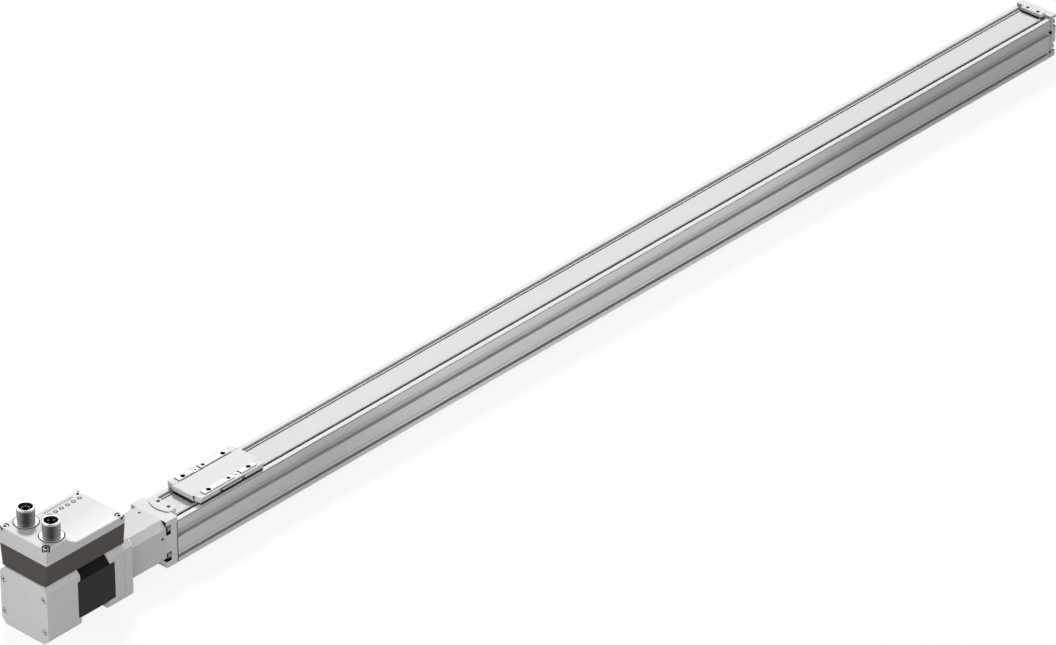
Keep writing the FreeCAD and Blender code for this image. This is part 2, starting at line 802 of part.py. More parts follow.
def make_buffers():
    gather("end_buffers", [
        ring(f"{place}_buffer", start, size.buffer_length, size.buffer_bore, size.buffer_radius)
        for place, start in (("drive", drive_end), ("idle", idle_end - size.buffer_length))])


def make_ball_screw():
    # The thread is a plain cylinder over its crests.
    body = keep(new_body("ball_screw", z=size.axis_height))
    coupling_end = cap_face - size.coupling_seat - size.coupling_hub_length
    step = cap_face - size.coupling_seat
    thread_start = cap_face + size.drive_bearing_width
    thread_end = idle_end - size.seat_clearance
    turn(body, [
        (coupling_end, 0),
        (coupling_end, size.coupling_journal_radius),
        (step, size.coupling_journal_radius),
        (step, size.drive_journal_radius),
        (thread_start, size.drive_journal_radius),
        (thread_start, size.screw_radius),
        (thread_end, size.screw_radius),
        (thread_end, size.idle_journal_radius),
        (idle_end + size.idle_bearing_width, size.idle_journal_radius),
        (idle_end + size.idle_bearing_width, 0),
    ])
    keep(ring("spindle_lock_nut", cap_face - size.lock_nut_length, size.lock_nut_length,
              size.drive_journal_radius, size.lock_nut_radius))


def jaw_outline():
    # One jaw between two arms of the spider, with its sides along the arms.
    offset = size.coupling_arm_width / 2
    inner = size.coupling_core_radius + size.seat_clearance
    outer = size.coupling_radius - size.free_clearance
    corners = []
    for along, side in ((inner, 1), (outer, 1), (outer, -1), (inner, -1)):
        corners.append(((along * 0.5 - offset * cos30) * side, along * cos30 + offset * 0.5))
    return corners


def make_coupling():
    # Two hubs with three jaws each, turned 60 degrees to each other, and a six-armed elastic spider.
    spindle_hub_start = cap_face - size.coupling_seat - size.coupling_hub_length
    spider_start = spindle_hub_start - size.coupling_jaw_length - size.seat_clearance
    motor_hub_start = spider_start - size.seat_clearance - size.coupling_hub_length
    hubs = (("spindle_coupling_hub", spindle_hub_start, spindle_hub_start - size.coupling_jaw_length, 0),
            ("motor_coupling_hub", motor_hub_start, motor_hub_start + size.coupling_hub_length, 180))
    for label, start, jaw_start, angle in hubs:
        body = keep(new_body(label, z=size.axis_height))
        body.Placement.Rotation = FreeCAD.Rotation(Vector(1, 0, 0), angle)
        turn(body, rectangle(start, start + size.coupling_hub_length, size.coupling_journal_radius,
                             size.coupling_radius))
        jaw = pad(body, "YZ_Plane", jaw_start, size.coupling_jaw_length, jaw_outline())
        repeat_round(body, jaw, 3)
    spider = keep(new_body("coupling_spider", z=size.axis_height))
    turn(spider, rectangle(spider_start, spider_start + size.coupling_jaw_length,
                           size.coupling_journal_radius, size.coupling_core_radius))
    half = size.coupling_arm_width / 2
    inside = size.coupling_core_radius - size.free_clearance
    arm = pad(spider, "YZ_Plane", spider_start, size.coupling_jaw_length,
              rectangle(inside, size.coupling_radius - size.free_clearance, -half, half))
    repeat_round(spider, arm, 6)
    return motor_hub_start


def make_coupling_housing():
    body = keep(new_body("coupling_housing"))
    half = size.housing_width / 2
    flange_half_width, flange_half_height = size.motor_width / 2, size.motor_height / 2
    pad(body, "YZ_Plane", motor_face, size.housing_length,
        octagon(half, half, size.housing_chamfer, size.axis_height))
    joined = pad(body, "YZ_Plane", motor_face, size.flange_thickness,
                 octagon(flange_half_width, flange_half_height, size.motor_chamfer, size.axis_height))
    reach = half.number * 1.01

    def at_flange_root(edge):
        box = edge.BoundBox
        flat = near(box.XMin, flange_front.number) and near(box.XMax, flange_front.number)
        rise = abs(box.Center.z - size.axis_height.number)
        return flat and box.YMax < reach and box.YMin > -reach and rise < reach
    round_edges(body, joined, size.housing_blend, at_flange_root)
    bore_start = motor_face + size.pilot_length + size.seat_clearance
    pocket(body, "YZ_Plane", motor_face, size.housing_length,
           circles=[(0, size.axis_height, size.pilot_radius + size.seat_clearance)])
    pocket(body, "YZ_Plane", bore_start, size.housing_length,
           circles=[(0, size.axis_height, size.housing_bore)])
    pocket(body, "YZ_Plane", motor_face, size.flange_thickness,
           circles=motor_bolt_holes(size.motor_bolt_shank_radius + size.seat_clearance))
    pocket(body, "YZ_Plane", flange_front, size.housing_blend * 1.5,
           circles=motor_bolt_holes(size.motor_bolt_head_radius + size.free_clearance))
    grub_x = cap_face - size.grub_screw_reach
    grub_room = size.grub_screw_radius + size.seat_clearance
    pocket(body, "XY_Plane", size.axis_height, half, circles=[(grub_x, size.grub_screw_offset, grub_room)])
    grub_z = size.axis_height + size.grub_screw_offset
    pocket(body, "XZ_Plane", 0, half, circles=[(grub_x, grub_z, grub_room)])


def motor_bolt_places():
    offset = size.motor_bolt_offset
    return [(side, size.axis_height + rise) for rise in (-offset, offset) for side in (-offset, offset)]


def motor_bolt_holes(radius):
    return [(y, z, radius) for y, z in motor_bolt_places()]


def make_housing_screws():
    grub = screw_master("grub_screw_master", size.grub_screw_radius, size.grub_screw_length / 2,
                        size.grub_screw_radius * 0.8, size.grub_screw_length / 2)
    grub_x = cap_face - size.grub_screw_reach
    # Each grub screw's end bears on the spigot's round with the edge nearer to the screw's axis.
    spigot, offset = size.spigot_radius, size.grub_screw_offset - size.grub_screw_radius * 0.8
    level = Dim(math.sqrt(spigot.number ** 2 - offset.number ** 2),
                f"sqrt({spigot.text} * {spigot.text} - {offset.text} * {offset.text})")
    seat = level + size.grub_screw_length / 2
    screw_group("housing_grub_screws", grub, [
        (grub_x, size.grub_screw_offset, size.axis_height + seat, (0, 0, 1)),
        (grub_x, -seat, size.axis_height + size.grub_screw_offset, (0, -1, 0)),
    ])
    bolt = screw_master("motor_bolt_master", size.motor_bolt_head_radius, size.motor_bolt_head_height,
                        size.motor_bolt_shank_radius, size.flange_thickness + size.front_bell_length / 2)
    screw_group("motor_bolts", bolt, [(flange_front, y, z, (1, 0, 0)) for y, z in motor_bolt_places()])


def bell_outline():
    return octagon(size.motor_width / 2, size.motor_height / 2, size.motor_chamfer, size.axis_height)


def stator_seat_outline():
    # Room for the stator between a bell's corner ears: the flats are open, the corners follow the core.
    extra = size.motor_chamfer / 2
    half = size.stator_width / 2 + extra
    return octagon(half, half, size.stator_chamfer - size.seat_clearance + extra * 2, size.axis_height)


def make_motor_front_bell():
    body = keep(new_body("motor_front_bell"))
    start = stator_front - size.front_bell_ear
    pad(body, "YZ_Plane", start, size.front_bell_length + size.front_bell_ear, bell_outline())
    pad(body, "YZ_Plane", motor_face, size.pilot_length, circles=[(0, size.axis_height, size.pilot_radius)])
    pocket(body, "YZ_Plane", start, size.front_bell_ear, stator_seat_outline())
    pocket(body, "YZ_Plane", stator_front, size.winding_length,
           circles=[(0, size.axis_height, size.winding_radius + size.free_clearance)])
    pocket(body, "YZ_Plane", stator_front, front_bearing_start + size.motor_bearing_width - stator_front,
           circles=[(0, size.axis_height, size.motor_bearing_radius + size.seat_clearance)])
    pocket(body, "YZ_Plane", stator_front, size.front_bell_length + size.pilot_length,
           circles=[(0, size.axis_height, motor_shaft_room)])
    grip = size.front_bell_length / 2 + size.seat_clearance
    pocket(body, "YZ_Plane", motor_face - grip, grip,
           circles=motor_bolt_holes(size.motor_bolt_shank_radius + size.seat_clearance))


def rear_screw_places():
    return [(side, size.axis_height + rise) for rise in (-size.rear_screw_rise, size.rear_screw_rise)
            for side in (-size.rear_screw_offset, size.rear_screw_offset)]


def make_motor_rear_bell():
    body = keep(new_body("motor_rear_bell"))
    pad(body, "YZ_Plane", motor_rear, size.rear_bell_length + size.rear_bell_ear, bell_outline())
    pocket(body, "YZ_Plane", stator_rear, size.rear_bell_ear, stator_seat_outline())
    pocket(body, "YZ_Plane", stator_rear - size.winding_length, size.winding_length,
           circles=[(0, size.axis_height, size.winding_radius + size.free_clearance)])
    pocket(body, "YZ_Plane", rear_bearing_start, stator_rear - rear_bearing_start,
           circles=[(0, size.axis_height, size.motor_bearing_radius + size.seat_clearance)])
    cavity_start = motor_rear + size.base_wall
    pocket(body, "YZ_Plane", cavity_start, rear_bearing_start - size.base_wall - cavity_start,
           circles=[(0, size.axis_height, size.winding_radius - size.base_wall)])
    pocket(body, "YZ_Plane", cavity_start, stator_rear - cavity_start,
           circles=[(0, size.axis_height, motor_shaft_room)])
    head_depth = size.rear_screw_head_height + size.seat_clearance
    head_room = size.rear_screw_head_radius + size.free_clearance
    shank_room = size.rear_screw_shank_radius + size.seat_clearance
    pocket(body, "YZ_Plane", motor_rear, head_depth,
           circles=[(y, z, head_room) for y, z in rear_screw_places()])
    pocket(body, "YZ_Plane", motor_rear, size.rear_bell_length,
           circles=[(y, z, shank_room) for y, z in rear_screw_places()])


def make_stator():
    core = keep(new_body("stator_core"))
    half = size.stator_width / 2
    bore = size.rotor_radius + size.rotor_gap
    pad(core, "YZ_Plane", stator_rear, size.stator_length,
        octagon(half, half, size.stator_chamfer, size.axis_height), circles=[(0, size.axis_height, bore)])
    gather("stator_windings", [
        ring(f"{place}_winding", start, size.winding_length, bore + size.free_clearance, size.winding_radius)
        for place, start in (("front", stator_front), ("rear", stator_rear - size.winding_length))])


def make_rotor(motor_hub_start):
    shaft_rear = motor_rear + size.base_wall + size.board_thickness + size.encoder_gap + size.magnet_length
    shaft = keep(new_body("motor_shaft", z=size.axis_height))
    shaft_front = motor_hub_start + size.coupling_hub_length
    turn(shaft, rectangle(shaft_rear, shaft_front, 0, size.coupling_journal_radius))
    keep(ring("rotor_core", stator_rear + size.rotor_end_gap, size.stator_length - size.rotor_end_gap * 2,
              size.coupling_journal_radius, size.rotor_radius))
    keep(ring("encoder_magnet", shaft_rear - size.magnet_length, size.magnet_length, 0, size.magnet_radius))


def make_rear_screws():
    seat = motor_rear + size.rear_screw_head_height + size.seat_clearance
    master = screw_master("rear_screw_master", size.rear_screw_head_radius, size.rear_screw_head_height,
                          size.rear_screw_shank_radius, size.rear_bell_length - size.rear_screw_head_height
                          - size.free_clearance)
    screw_group("motor_rear_screws", master, [(seat, y, z, (-1, 0, 0)) for y, z in rear_screw_places()])


# Places of the drive electronics
base_rear = motor_rear + size.base_inset
base_front = base_rear + size.base_length
base_bottom = size.axis_height + size.motor_height / 2
base_top = base_bottom + size.base_height
deck_top = base_top + size.deck_height
block_top = base_top + size.block_height
deck_under = deck_top - size.lid_wall
connector_x = base_rear + size.connector_reach
board_level = base_top - size.board_thickness


def make_encoder_board():
    body = keep(new_body("encoder_board"))
    pad(body, "YZ_Plane", motor_rear + size.base_wall, size.board_thickness,
        circles=[(0, size.axis_height, size.winding_radius - size.base_wall - size.free_clearance)])


def make_electronics_base():
    body = keep(new_body("electronics_base"))
    top = size.base_top_width / 2
    bottom = top - size.base_taper
    pad(body, "YZ_Plane", base_rear, size.base_length,
        [(-bottom, base_bottom), (bottom, base_bottom), (top, base_top), (-top, base_top)])
    # The cavity leaves a solid corner round each lid screw.
    inside = bottom - size.base_wall
    rear, front = base_rear + size.base_wall, base_front - size.base_wall
    corner = size.lid_screw_inset * 2
    left_corner, rear_corner, front_corner = top - corner, base_rear + corner, base_front - corner
    pocket(body, "XY_Plane", board_level, size.base_height, [
        (rear_corner, -inside), (front_corner, -inside), (front_corner, -left_corner), (front, -left_corner),
        (front, left_corner), (front_corner, left_corner), (front_corner, inside), (rear_corner, inside),
        (rear_corner, left_corner), (rear, left_corner), (rear, -left_corner), (rear_corner, -left_corner)])
    # Below the board's level the cavity is shorter, so that the board rests on a ledge at each end.
    floor = base_bottom + size.base_wall
    pocket(body, "XY_Plane", floor, board_level - floor,
           rectangle(rear_corner, front_corner, -inside, inside))
    shank_room = size.lid_screw_shank_radius + size.seat_clearance
    pocket(body, "XY_Plane", base_top - size.lid_screw_grip, size.lid_screw_grip,
           circles=[(x, y, shank_room) for x, y in lid_screw_places()])


def lid_screw_places():
    inset = size.lid_screw_inset
    side = size.base_top_width / 2 - inset
    return [(x, y) for x in (base_rear + inset, base_front - inset) for y in (-side, side)]


def key_places():
    side = size.base_top_width / 2 - size.key_inset
    return [(base_front - size.key_reach - size.key_pitch * index, side) for index in range(key_count)]


def window_outline(room):
    front = base_front - size.window_reach
    middle = size.base_top_width / 2 - size.window_inset
    half = size.window_width / 2
    return rectangle(front - size.window_length - room, front + room,
                     middle - half - room, middle + half + room)


def make_electronics_lid():
    # A shell whose high rear block runs down to the deck in a hollow curve.
    body = keep(new_body("electronics_lid"))
    half = size.base_top_width / 2
    block_front = base_rear + size.block_length
    step = size.block_height - size.deck_height
    run = Dim(math.sqrt(step.number * (2 * size.block_blend.number - step.number)),
              f"sqrt({step.text} * (2 * {size.block_blend.text} - {step.text}))")
    side_view = [
        (base_rear, base_top),
        (base_front, base_top),
        (base_front, deck_top),
        (block_front + run, deck_top, -size.block_blend),
        (block_front, block_top),
        (base_rear, block_top),
    ]
    shell = pad(body, "XZ_Plane", -half, size.base_top_width, side_view)
    low = base_top.number + size.lid_edge_radius.number

    def upper_edge(edge):
        box = edge.BoundBox
        at_side = near(abs(box.YMin), half.number) and near(box.YMin, box.YMax)
        across = near(box.XMin, box.XMax) and near(box.ZMin, box.ZMax)
        at_end = near(box.XMin, base_rear.number) or near(box.XMin, base_front.number)
        return box.ZMin > low and (at_side or (across and at_end))
    round_edges(body, shell, size.lid_edge_radius, upper_edge)
    sides = (-size.connector_offset, size.connector_offset)
    pad(body, "XY_Plane", base_top, size.block_height,
        circles=[(connector_x, side, size.connector_boss_radius) for side in sides])
    wall = size.lid_wall
    inner = half - wall
    pocket(body, "XY_Plane", base_top, size.deck_height - wall,
           rectangle(base_rear + wall, base_front - wall, -inner, inner))
    pocket(body, "XY_Plane", base_top, size.block_height - wall,
           rectangle(base_rear + wall, block_front - wall, -inner, inner))
    # A solid corner stands under each screw pocket.
    corner, skin, depth = size.lid_screw_inset * 2, wall / 2, size.lid_screw_pocket_depth
    rear_corner = (base_rear + skin, base_rear + corner)
    front_corner = (base_front - corner, base_front - skin)
    rear_screws, front_screws = lid_screw_places()[:2], lid_screw_places()[2:]
    for top, span, places in ((block_top, rear_corner, rear_screws), (deck_top, front_corner, front_screws)):
        for side in (-1, 1):
            pad(body, "XY_Plane", base_top, top - base_top - depth,
                rectangle(*span, (half - corner) * side, (half - skin) * side))
        pocket(body, "XY_Plane", top - depth, depth + size.free_clearance,
               circles=[(x, y, size.lid_screw_pocket_radius) for x, y in places])
        pocket(body, "XY_Plane", base_top, top - base_top,
               circles=[(x, y, size.lid_screw_shank_radius + size.seat_clearance) for x, y in places])
    pocket(body, "XY_Plane", base_top, size.block_height,
           circles=[(connector_x, side, size.connector_stem_radius + size.seat_clearance) for side in sides])
    seal_room = size.connector_flange_radius + size.seal_width + size.seat_clearance
    for side in sides:
        pocket(body, "XY_Plane", block_top - size.seal_depth, size.seal_depth,
               circles=[(connector_x, side, seal_room)])
    pocket(body, "XY_Plane", deck_under, wall,
           circles=[(x, y, size.key_radius + size.running_clearance) for x, y in key_places()])
    pocket(body, "XY_Plane", deck_top - size.window_depth, size.window_depth,
           window_outline(size.seat_clearance))


def make_lid_screws():
    master = screw_master("lid_screw_master", size.lid_screw_head_radius, size.lid_screw_head_height,
                          size.lid_screw_shank_radius, size.lid_screw_grip - size.free_clearance)
    depth = size.lid_screw_pocket_depth
    places = []
    for x, y in lid_screw_places():
        top = block_top if x.number < connector_x.number else deck_top
        places.append((x, y, top - depth, (0, 0, 1)))
    screw_group("lid_screws", master, places)


def make_control_board():
    # The board under the lid, with the row of switches that the keys press.
    body = keep(new_body("control_board"))
    half = size.base_top_width / 2 - size.lid_screw_inset * 2 - size.free_clearance
    inset = size.base_wall + size.free_clearance
    pad(body, "XY_Plane", board_level, size.board_thickness,
        rectangle(base_rear + inset, base_front - inset, -half, half))
    switch_top = deck_under - size.key_flange_thickness - size.key_travel - size.seat_clearance * 2
    side = size.key_flange_radius * 0.8
    for x, y in key_places():
        pad(body, "XY_Plane", base_top, switch_top - base_top,
            rectangle(x - side, x + side, y - side, y + side))


def make_keys():
    for index, (x, y) in enumerate(key_places(), start=1):
        body = keep(new_body(f"set_key_{index}", x=x, y=y))
        flange_top = deck_under - size.seat_clearance
        flange_base = flange_top - size.key_flange_thickness
        key_top = deck_top + size.key_stand
        turn(body, [(0, flange_base), (size.key_flange_radius, flange_base),
                    (size.key_flange_radius, flange_top), (size.key_radius, flange_top),
                    (size.key_radius, key_top), (0, key_top)], "Z_Axis")


def make_level_window():
    body = keep(new_body("level_window"))
    pad(body, "XY_Plane", deck_top - size.window_depth, size.window_depth, window_outline(dim(0)))


def make_connector(label, side, pin_count):
    top = block_top + size.connector_height
    floor = top - size.connector_mouth_depth
    flange_base = block_top - size.seal_depth
    flange_top = block_top + size.connector_flange_height
    stem_base = block_top - size.connector_stem_length
    shell = keep(new_body(f"{label}_connector_shell", x=connector_x, y=side))
    turn(shell, [
        (0, stem_base),
        (size.connector_stem_radius, stem_base),
        (size.connector_stem_radius, flange_base),
        (size.connector_flange_radius, flange_base),
        (size.connector_flange_radius, flange_top),
        (size.connector_radius, flange_top),
        (size.connector_radius, top - size.connector_chamfer),
        (size.connector_radius - size.connector_chamfer / 2, top),
        (size.connector_mouth_radius, top),
        (size.connector_mouth_radius, floor),
        (0, floor),
    ], "Z_Axis")
    insert = new_body(f"{label}_connector_insert", x=connector_x, y=side)
    insert_top = floor + size.insert_thickness
    insert_radius = size.connector_mouth_radius - size.seat_clearance
    turn(insert, rectangle(0, insert_radius, floor, insert_top), "Z_Axis")
    master = new_body(f"{label}_pin_master")
    turn(master, rectangle(0, size.pin_radius, 0, size.pin_length), "Z_Axis")
    angles = [2 * math.pi * index / pin_count for index in range(pin_count)]
    pins = copies_of(master, [(connector_x + size.pin_ring_radius * math.cos(angle),
                               side + size.pin_ring_radius * math.sin(angle), insert_top, (0, 0, 1))
                              for angle in angles])
    return insert, pins


def make_connectors():
    power_insert, power_pins = make_connector("power", -size.connector_offset, 4)
    signal_insert, signal_pins = make_connector("signal", size.connector_offset, 8)
    gather("connector_inserts", [power_insert, signal_insert])
    gather("connector_pins", power_pins + signal_pins)
    master = new_body("seal_master")
    inner = size.connector_flange_radius + size.seat_clearance
    outer = size.connector_flange_radius + size.seal_width
    turn(master, rectangle(inner, outer, 0, size.seal_depth), "Z_Axis")
    screw_group("connector_seals", master, [(connector_x, side, block_top - size.seal_depth, (0, 0, 1))
                                            for side in (-size.connector_offset, size.connector_offset)])


# Places on the carriage
cover_rear = carriage_middle - size.cover_length / 2
cheek_rear = carriage_middle - size.cheek_length / 2
cheek_front = carriage_middle + size.cheek_length / 2
pad_top = size.carriage_top + size.pad_height
bolt_row = size.bolt_spacing_width / 2
arm_outer = lip_inside - size.free_clearance
arm_inner = arm_outer - size.arm_thickness
bracket_top = strip_edge_base - size.bracket_top_gap


def make_cheek(label, side):
    # A side strip of the carriage with two raised pads. The pads of the two sides mirror through the middle.
    body = keep(new_body(label))
    inner, outer = size.cover_half_width + size.seat_clearance, size.cheek_half_width
    taper = size.cheek_taper

    def across(values):
        return [(x, y * side) for x, y in values]
    plan = across([(cheek_rear, inner), (cheek_front, inner), (cheek_front - taper, outer),
                   (cheek_rear + taper, outer)])
    pad(body, "XY_Plane", size.carriage_base, size.carriage_top - size.carriage_base, plan)
    pad_ends = ((-size.pad_end, size.pad_short - size.pad_end), (size.pad_end - size.pad_long, size.pad_end))
    for first, last in pad_ends:
        pad_rear, pad_front = carriage_middle + first * side, carriage_middle + last * side
        pad(body, "XY_Plane", size.carriage_top, size.pad_height, across([
            (pad_rear, inner), (pad_front, inner), (pad_front, size.pad_outer), (pad_rear, size.pad_outer)]))
    depth = pad_top - size.carriage_base
    row = bolt_row * side
    half_spacing = size.bolt_spacing_length / 2
    pocket(body, "XY_Plane", size.carriage_base, depth,
           circles=[(carriage_middle - half_spacing, row, size.bolt_hole_radius),
                    (carriage_middle + half_spacing, row, size.bolt_hole_radius),
                    (carriage_middle, row, size.middle_hole_radius)])
    ring_x = carriage_middle - size.ring_screw_shift * side
    ring_y = size.ring_screw_offset * side
    pocket(body, "XY_Plane", size.carriage_base, depth,
           circles=[(ring_x, ring_y, size.ring_screw_shank_radius + size.seat_clearance)])
    pocket(body, "XY_Plane", size.carriage_top - size.ring_screw_head_height, size.ring_screw_head_height,
           circles=[(ring_x, ring_y, size.ring_screw_head_radius + size.seat_clearance)])
    room = size.seat_clearance
    half = size.side_plate_length / 2 + room
    recess = rectangle(carriage_middle - half, carriage_middle + half, size.carriage_base,
                       size.carriage_base + size.side_plate_height + room)
    sketch_start = -outer if side > 0 else outer - size.side_plate_depth
    pocket(body, "XZ_Plane", sketch_start, size.side_plate_depth, recess)
    sink = size.side_screw_length
    hole_start = -outer if side > 0 else outer - sink
    pocket(body, "XZ_Plane", hole_start, sink,
           circles=[(carriage_middle + shift, size.carriage_base + size.side_screw_height,
                     size.side_screw_head_radius + room)
                    for shift in (-size.side_screw_shift, size.side_screw_shift)])


def make_side_plate(label, side):
    body = new_body(label)
    half, corner = size.side_plate_length / 2, size.side_plate_corner
    low, high = size.carriage_base, size.carriage_base + size.side_plate_height
    rear, front = carriage_middle - half, carriage_middle + half
    outline = [(rear, low), (front, low), (front, high - corner, corner), (front - corner, high),
               (rear + corner, high, corner), (rear, high - corner)]
    depth = size.side_plate_depth
    start = -size.cheek_half_width if side > 0 else size.cheek_half_width - depth
    pad(body, "XZ_Plane", start, depth, outline)
    pocket(body, "XZ_Plane", start, depth,
           circles=[(carriage_middle + shift, low + size.side_screw_height,
                     size.side_screw_head_radius + size.seat_clearance)
                    for shift in (-size.side_screw_shift, size.side_screw_shift)])
    return body


def make_carriage_top():
    cover = keep(new_body("centre_cover"))
    pad(cover, "XY_Plane", size.cover_base, size.carriage_top - size.cover_base,
        rectangle(cover_rear, cover_rear + size.cover_length, -size.cover_half_width, size.cover_half_width))
    sides = (("left", 1), ("right", -1))
    for label, side in sides:
        make_cheek(f"{label}_cheek", side)
    gather("side_plates", [make_side_plate(f"{label}_side_plate", side) for label, side in sides])
    ring_master = screw_master("ring_screw_master", size.ring_screw_head_radius, size.ring_screw_head_height,
                               size.ring_screw_shank_radius, size.ring_screw_grip)
    screw_group("cheek_screws", ring_master,
                [(carriage_middle - size.ring_screw_shift * side, size.ring_screw_offset * side,
                  size.carriage_top - size.ring_screw_head_height, (0, 0, 1)) for side in (1, -1)])
    side_master = screw_master("side_screw_master", size.side_screw_head_radius, size.side_screw_length / 2,
                               size.side_screw_head_radius * 0.7, size.side_screw_length / 2)
    screw_group("side_plate_screws", side_master,
                [(carriage_middle + shift, (size.cheek_half_width - size.side_screw_length / 2) * side,
                  size.carriage_base + size.side_screw_height, (0, side, 0))
                 for side in (1, -1) for shift in (-size.side_screw_shift, size.side_screw_shift)])


def make_slide_bracket():
    # The block inside the profile that carries the nut, with an arm up through each slot beside the strip.
    body = keep(new_body("slide_bracket"))
    start = carriage_middle - size.bracket_length / 2
    shoulder_base = bracket_top - size.bracket_shoulder
    right = [(size.bracket_half_width, size.block_guide_top),
             (size.bracket_half_width, shoulder_base - (arm_outer - size.bracket_half_width)),
             (arm_outer, shoulder_base),
             (arm_outer, bracket_top)]
    pad(body, "YZ_Plane", start, size.bracket_length, mirrored(right))
    arm_start = carriage_middle - size.arm_length / 2
    for side in (1, -1):
        pad(body, "YZ_Plane", arm_start, size.arm_length,
            [(arm_inner * side, bracket_top), (arm_outer * side, bracket_top),
             (arm_outer * side, size.carriage_base), (arm_inner * side, size.carriage_base)])
    pocket(body, "YZ_Plane", start, size.bracket_length,
           circles=[(0, size.axis_height, size.nut_radius + size.seat_clearance)])
    pocket(body, "XY_Plane", size.carriage_base - size.ring_screw_grip, size.ring_screw_grip,
           circles=[(carriage_middle - size.ring_screw_shift * side, size.ring_screw_offset * side,
                     size.ring_screw_shank_radius + size.seat_clearance) for side in (1, -1)])
    pocket(body, "YZ_Plane", start, size.nut_screw_length,
           circles=[(y, z, size.nut_screw_radius + size.seat_clearance) for y, z in nut_screw_places()])


def nut_screw_places():
    reach = size.nut_radius + size.nut_screw_radius + size.free_clearance
    return [(side, size.axis_height) for side in (-reach, reach)]


def make_guide_block():
    body = keep(new_body("guide_block"))
    half, channel = size.block_guide_width / 2, rail_half + size.running_clearance
    low, high = size.block_guide_base, size.block_guide_top
    rail_top = rail_base + size.rail_height + size.running_clearance
    right = [(channel, rail_top), (channel, low), (half, low), (half, high)]
    start = carriage_middle - size.block_guide_length / 2
    pad(body, "YZ_Plane", start, size.block_guide_length, mirrored(right))


def make_ball_nut():
    body = keep(new_body("ball_nut", z=size.axis_height))
    bracket_rear = carriage_middle - size.bracket_length / 2
    flange_rear = bracket_rear - size.nut_flange_length
    bore = size.screw_radius + size.running_clearance
    turn(body, [(flange_rear, bore), (bracket_rear + size.nut_length, bore),
                (bracket_rear + size.nut_length, size.nut_radius), (bracket_rear, size.nut_radius),
                (bracket_rear, size.nut_flange_radius), (flange_rear, size.nut_flange_radius)])
    sketch = new_sketch(body, "YZ_Plane", flange_rear)
    for y, z in nut_screw_places():
        add_circle(sketch, y, z - size.axis_height, size.nut_screw_radius + size.seat_clearance)
    feature_from(body, "Pocket", sketch, size.nut_flange_length, reverse=True)
    master = screw_master("nut_screw_master", size.nut_screw_radius * 1.6, size.nut_screw_radius,
                          size.nut_screw_radius, size.nut_flange_length + size.nut_screw_length
                          - size.free_clearance)
    screw_group("nut_screws", master, [(flange_rear, y, z, (-1, 0, 0)) for y, z in nut_screw_places()])


def make_carriage_wipers():
    # Two wipers across the strip under the cover, and one along each cheek over the profile's lip.
    wipers = []
    low = strip_face + size.free_clearance
    rear_start = cover_rear + size.wiper_inset
    front_start = cover_rear + size.cover_length - size.wiper_inset - size.wiper_length
    for place, start in (("rear", rear_start), ("front", front_start)):
        body = new_body(f"{place}_wiper")
        pad(body, "XY_Plane", low, size.cover_base - low,
            rectangle(start, start + size.wiper_length, -size.wiper_half_width, size.wiper_half_width))
        wipers.append(body)
    reach = size.cheek_length / 2 - size.cheek_taper - size.wiper_inset
    outer = size.cheek_half_width - size.wiper_inset
    inner = outer - size.side_wiper_width
    lip_room = size.profile_height + size.free_clearance
    for place, side in (("left", 1), ("right", -1)):
        body = new_body(f"{place}_wiper")
        pad(body, "XY_Plane", lip_room, size.carriage_base - lip_room,
            rectangle(carriage_middle - reach, carriage_middle + reach, inner * side, outer * side))
        wipers.append(body)
    gather("carriage_wipers", wipers)


def build():
    make_profile()
    make_guide_rail()
    make_cover_strip()
    make_drive_end_cap()
    make_idle_end_cap()
    make_strip_clamps()
    make_end_cap_screws()
    make_bearings()
    make_buffers()
    make_ball_screw()
    motor_hub_start = make_coupling()
    make_coupling_housing()
    make_housing_screws()
    make_motor_front_bell()
    make_motor_rear_bell()
    make_stator()
    make_rotor(motor_hub_start)
    make_rear_screws()
    make_encoder_board()
    make_electronics_base()
    make_electronics_lid()
    make_lid_screws()
    make_control_board()
    make_keys()
    make_level_window()
    make_connectors()
    make_carriage_top()
    make_slide_bracket()
    make_guide_block()
    make_ball_nut()
    make_carriage_wipers()
    doc.recompute()


def check():
    faults = [f"{item.Label}: {', '.join(item.State)}" for item in doc.Objects
              if "Invalid" in item.State or "Error" in item.State]
    for part in parts:
        shape = part.Shape
        if shape.isNull() or not shape.isValid() or not shape.Solids:
            faults.append(f"{part.Label}: no valid solid")
    if faults:
        raise RuntimeError("; ".join(faults))


def write():
    os.makedirs("parts", exist_ok=True)
    for part in parts:
        part.Shape.exportStep(f"parts/{part.Label}.step")


build()
check()
write()
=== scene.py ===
import json
import math

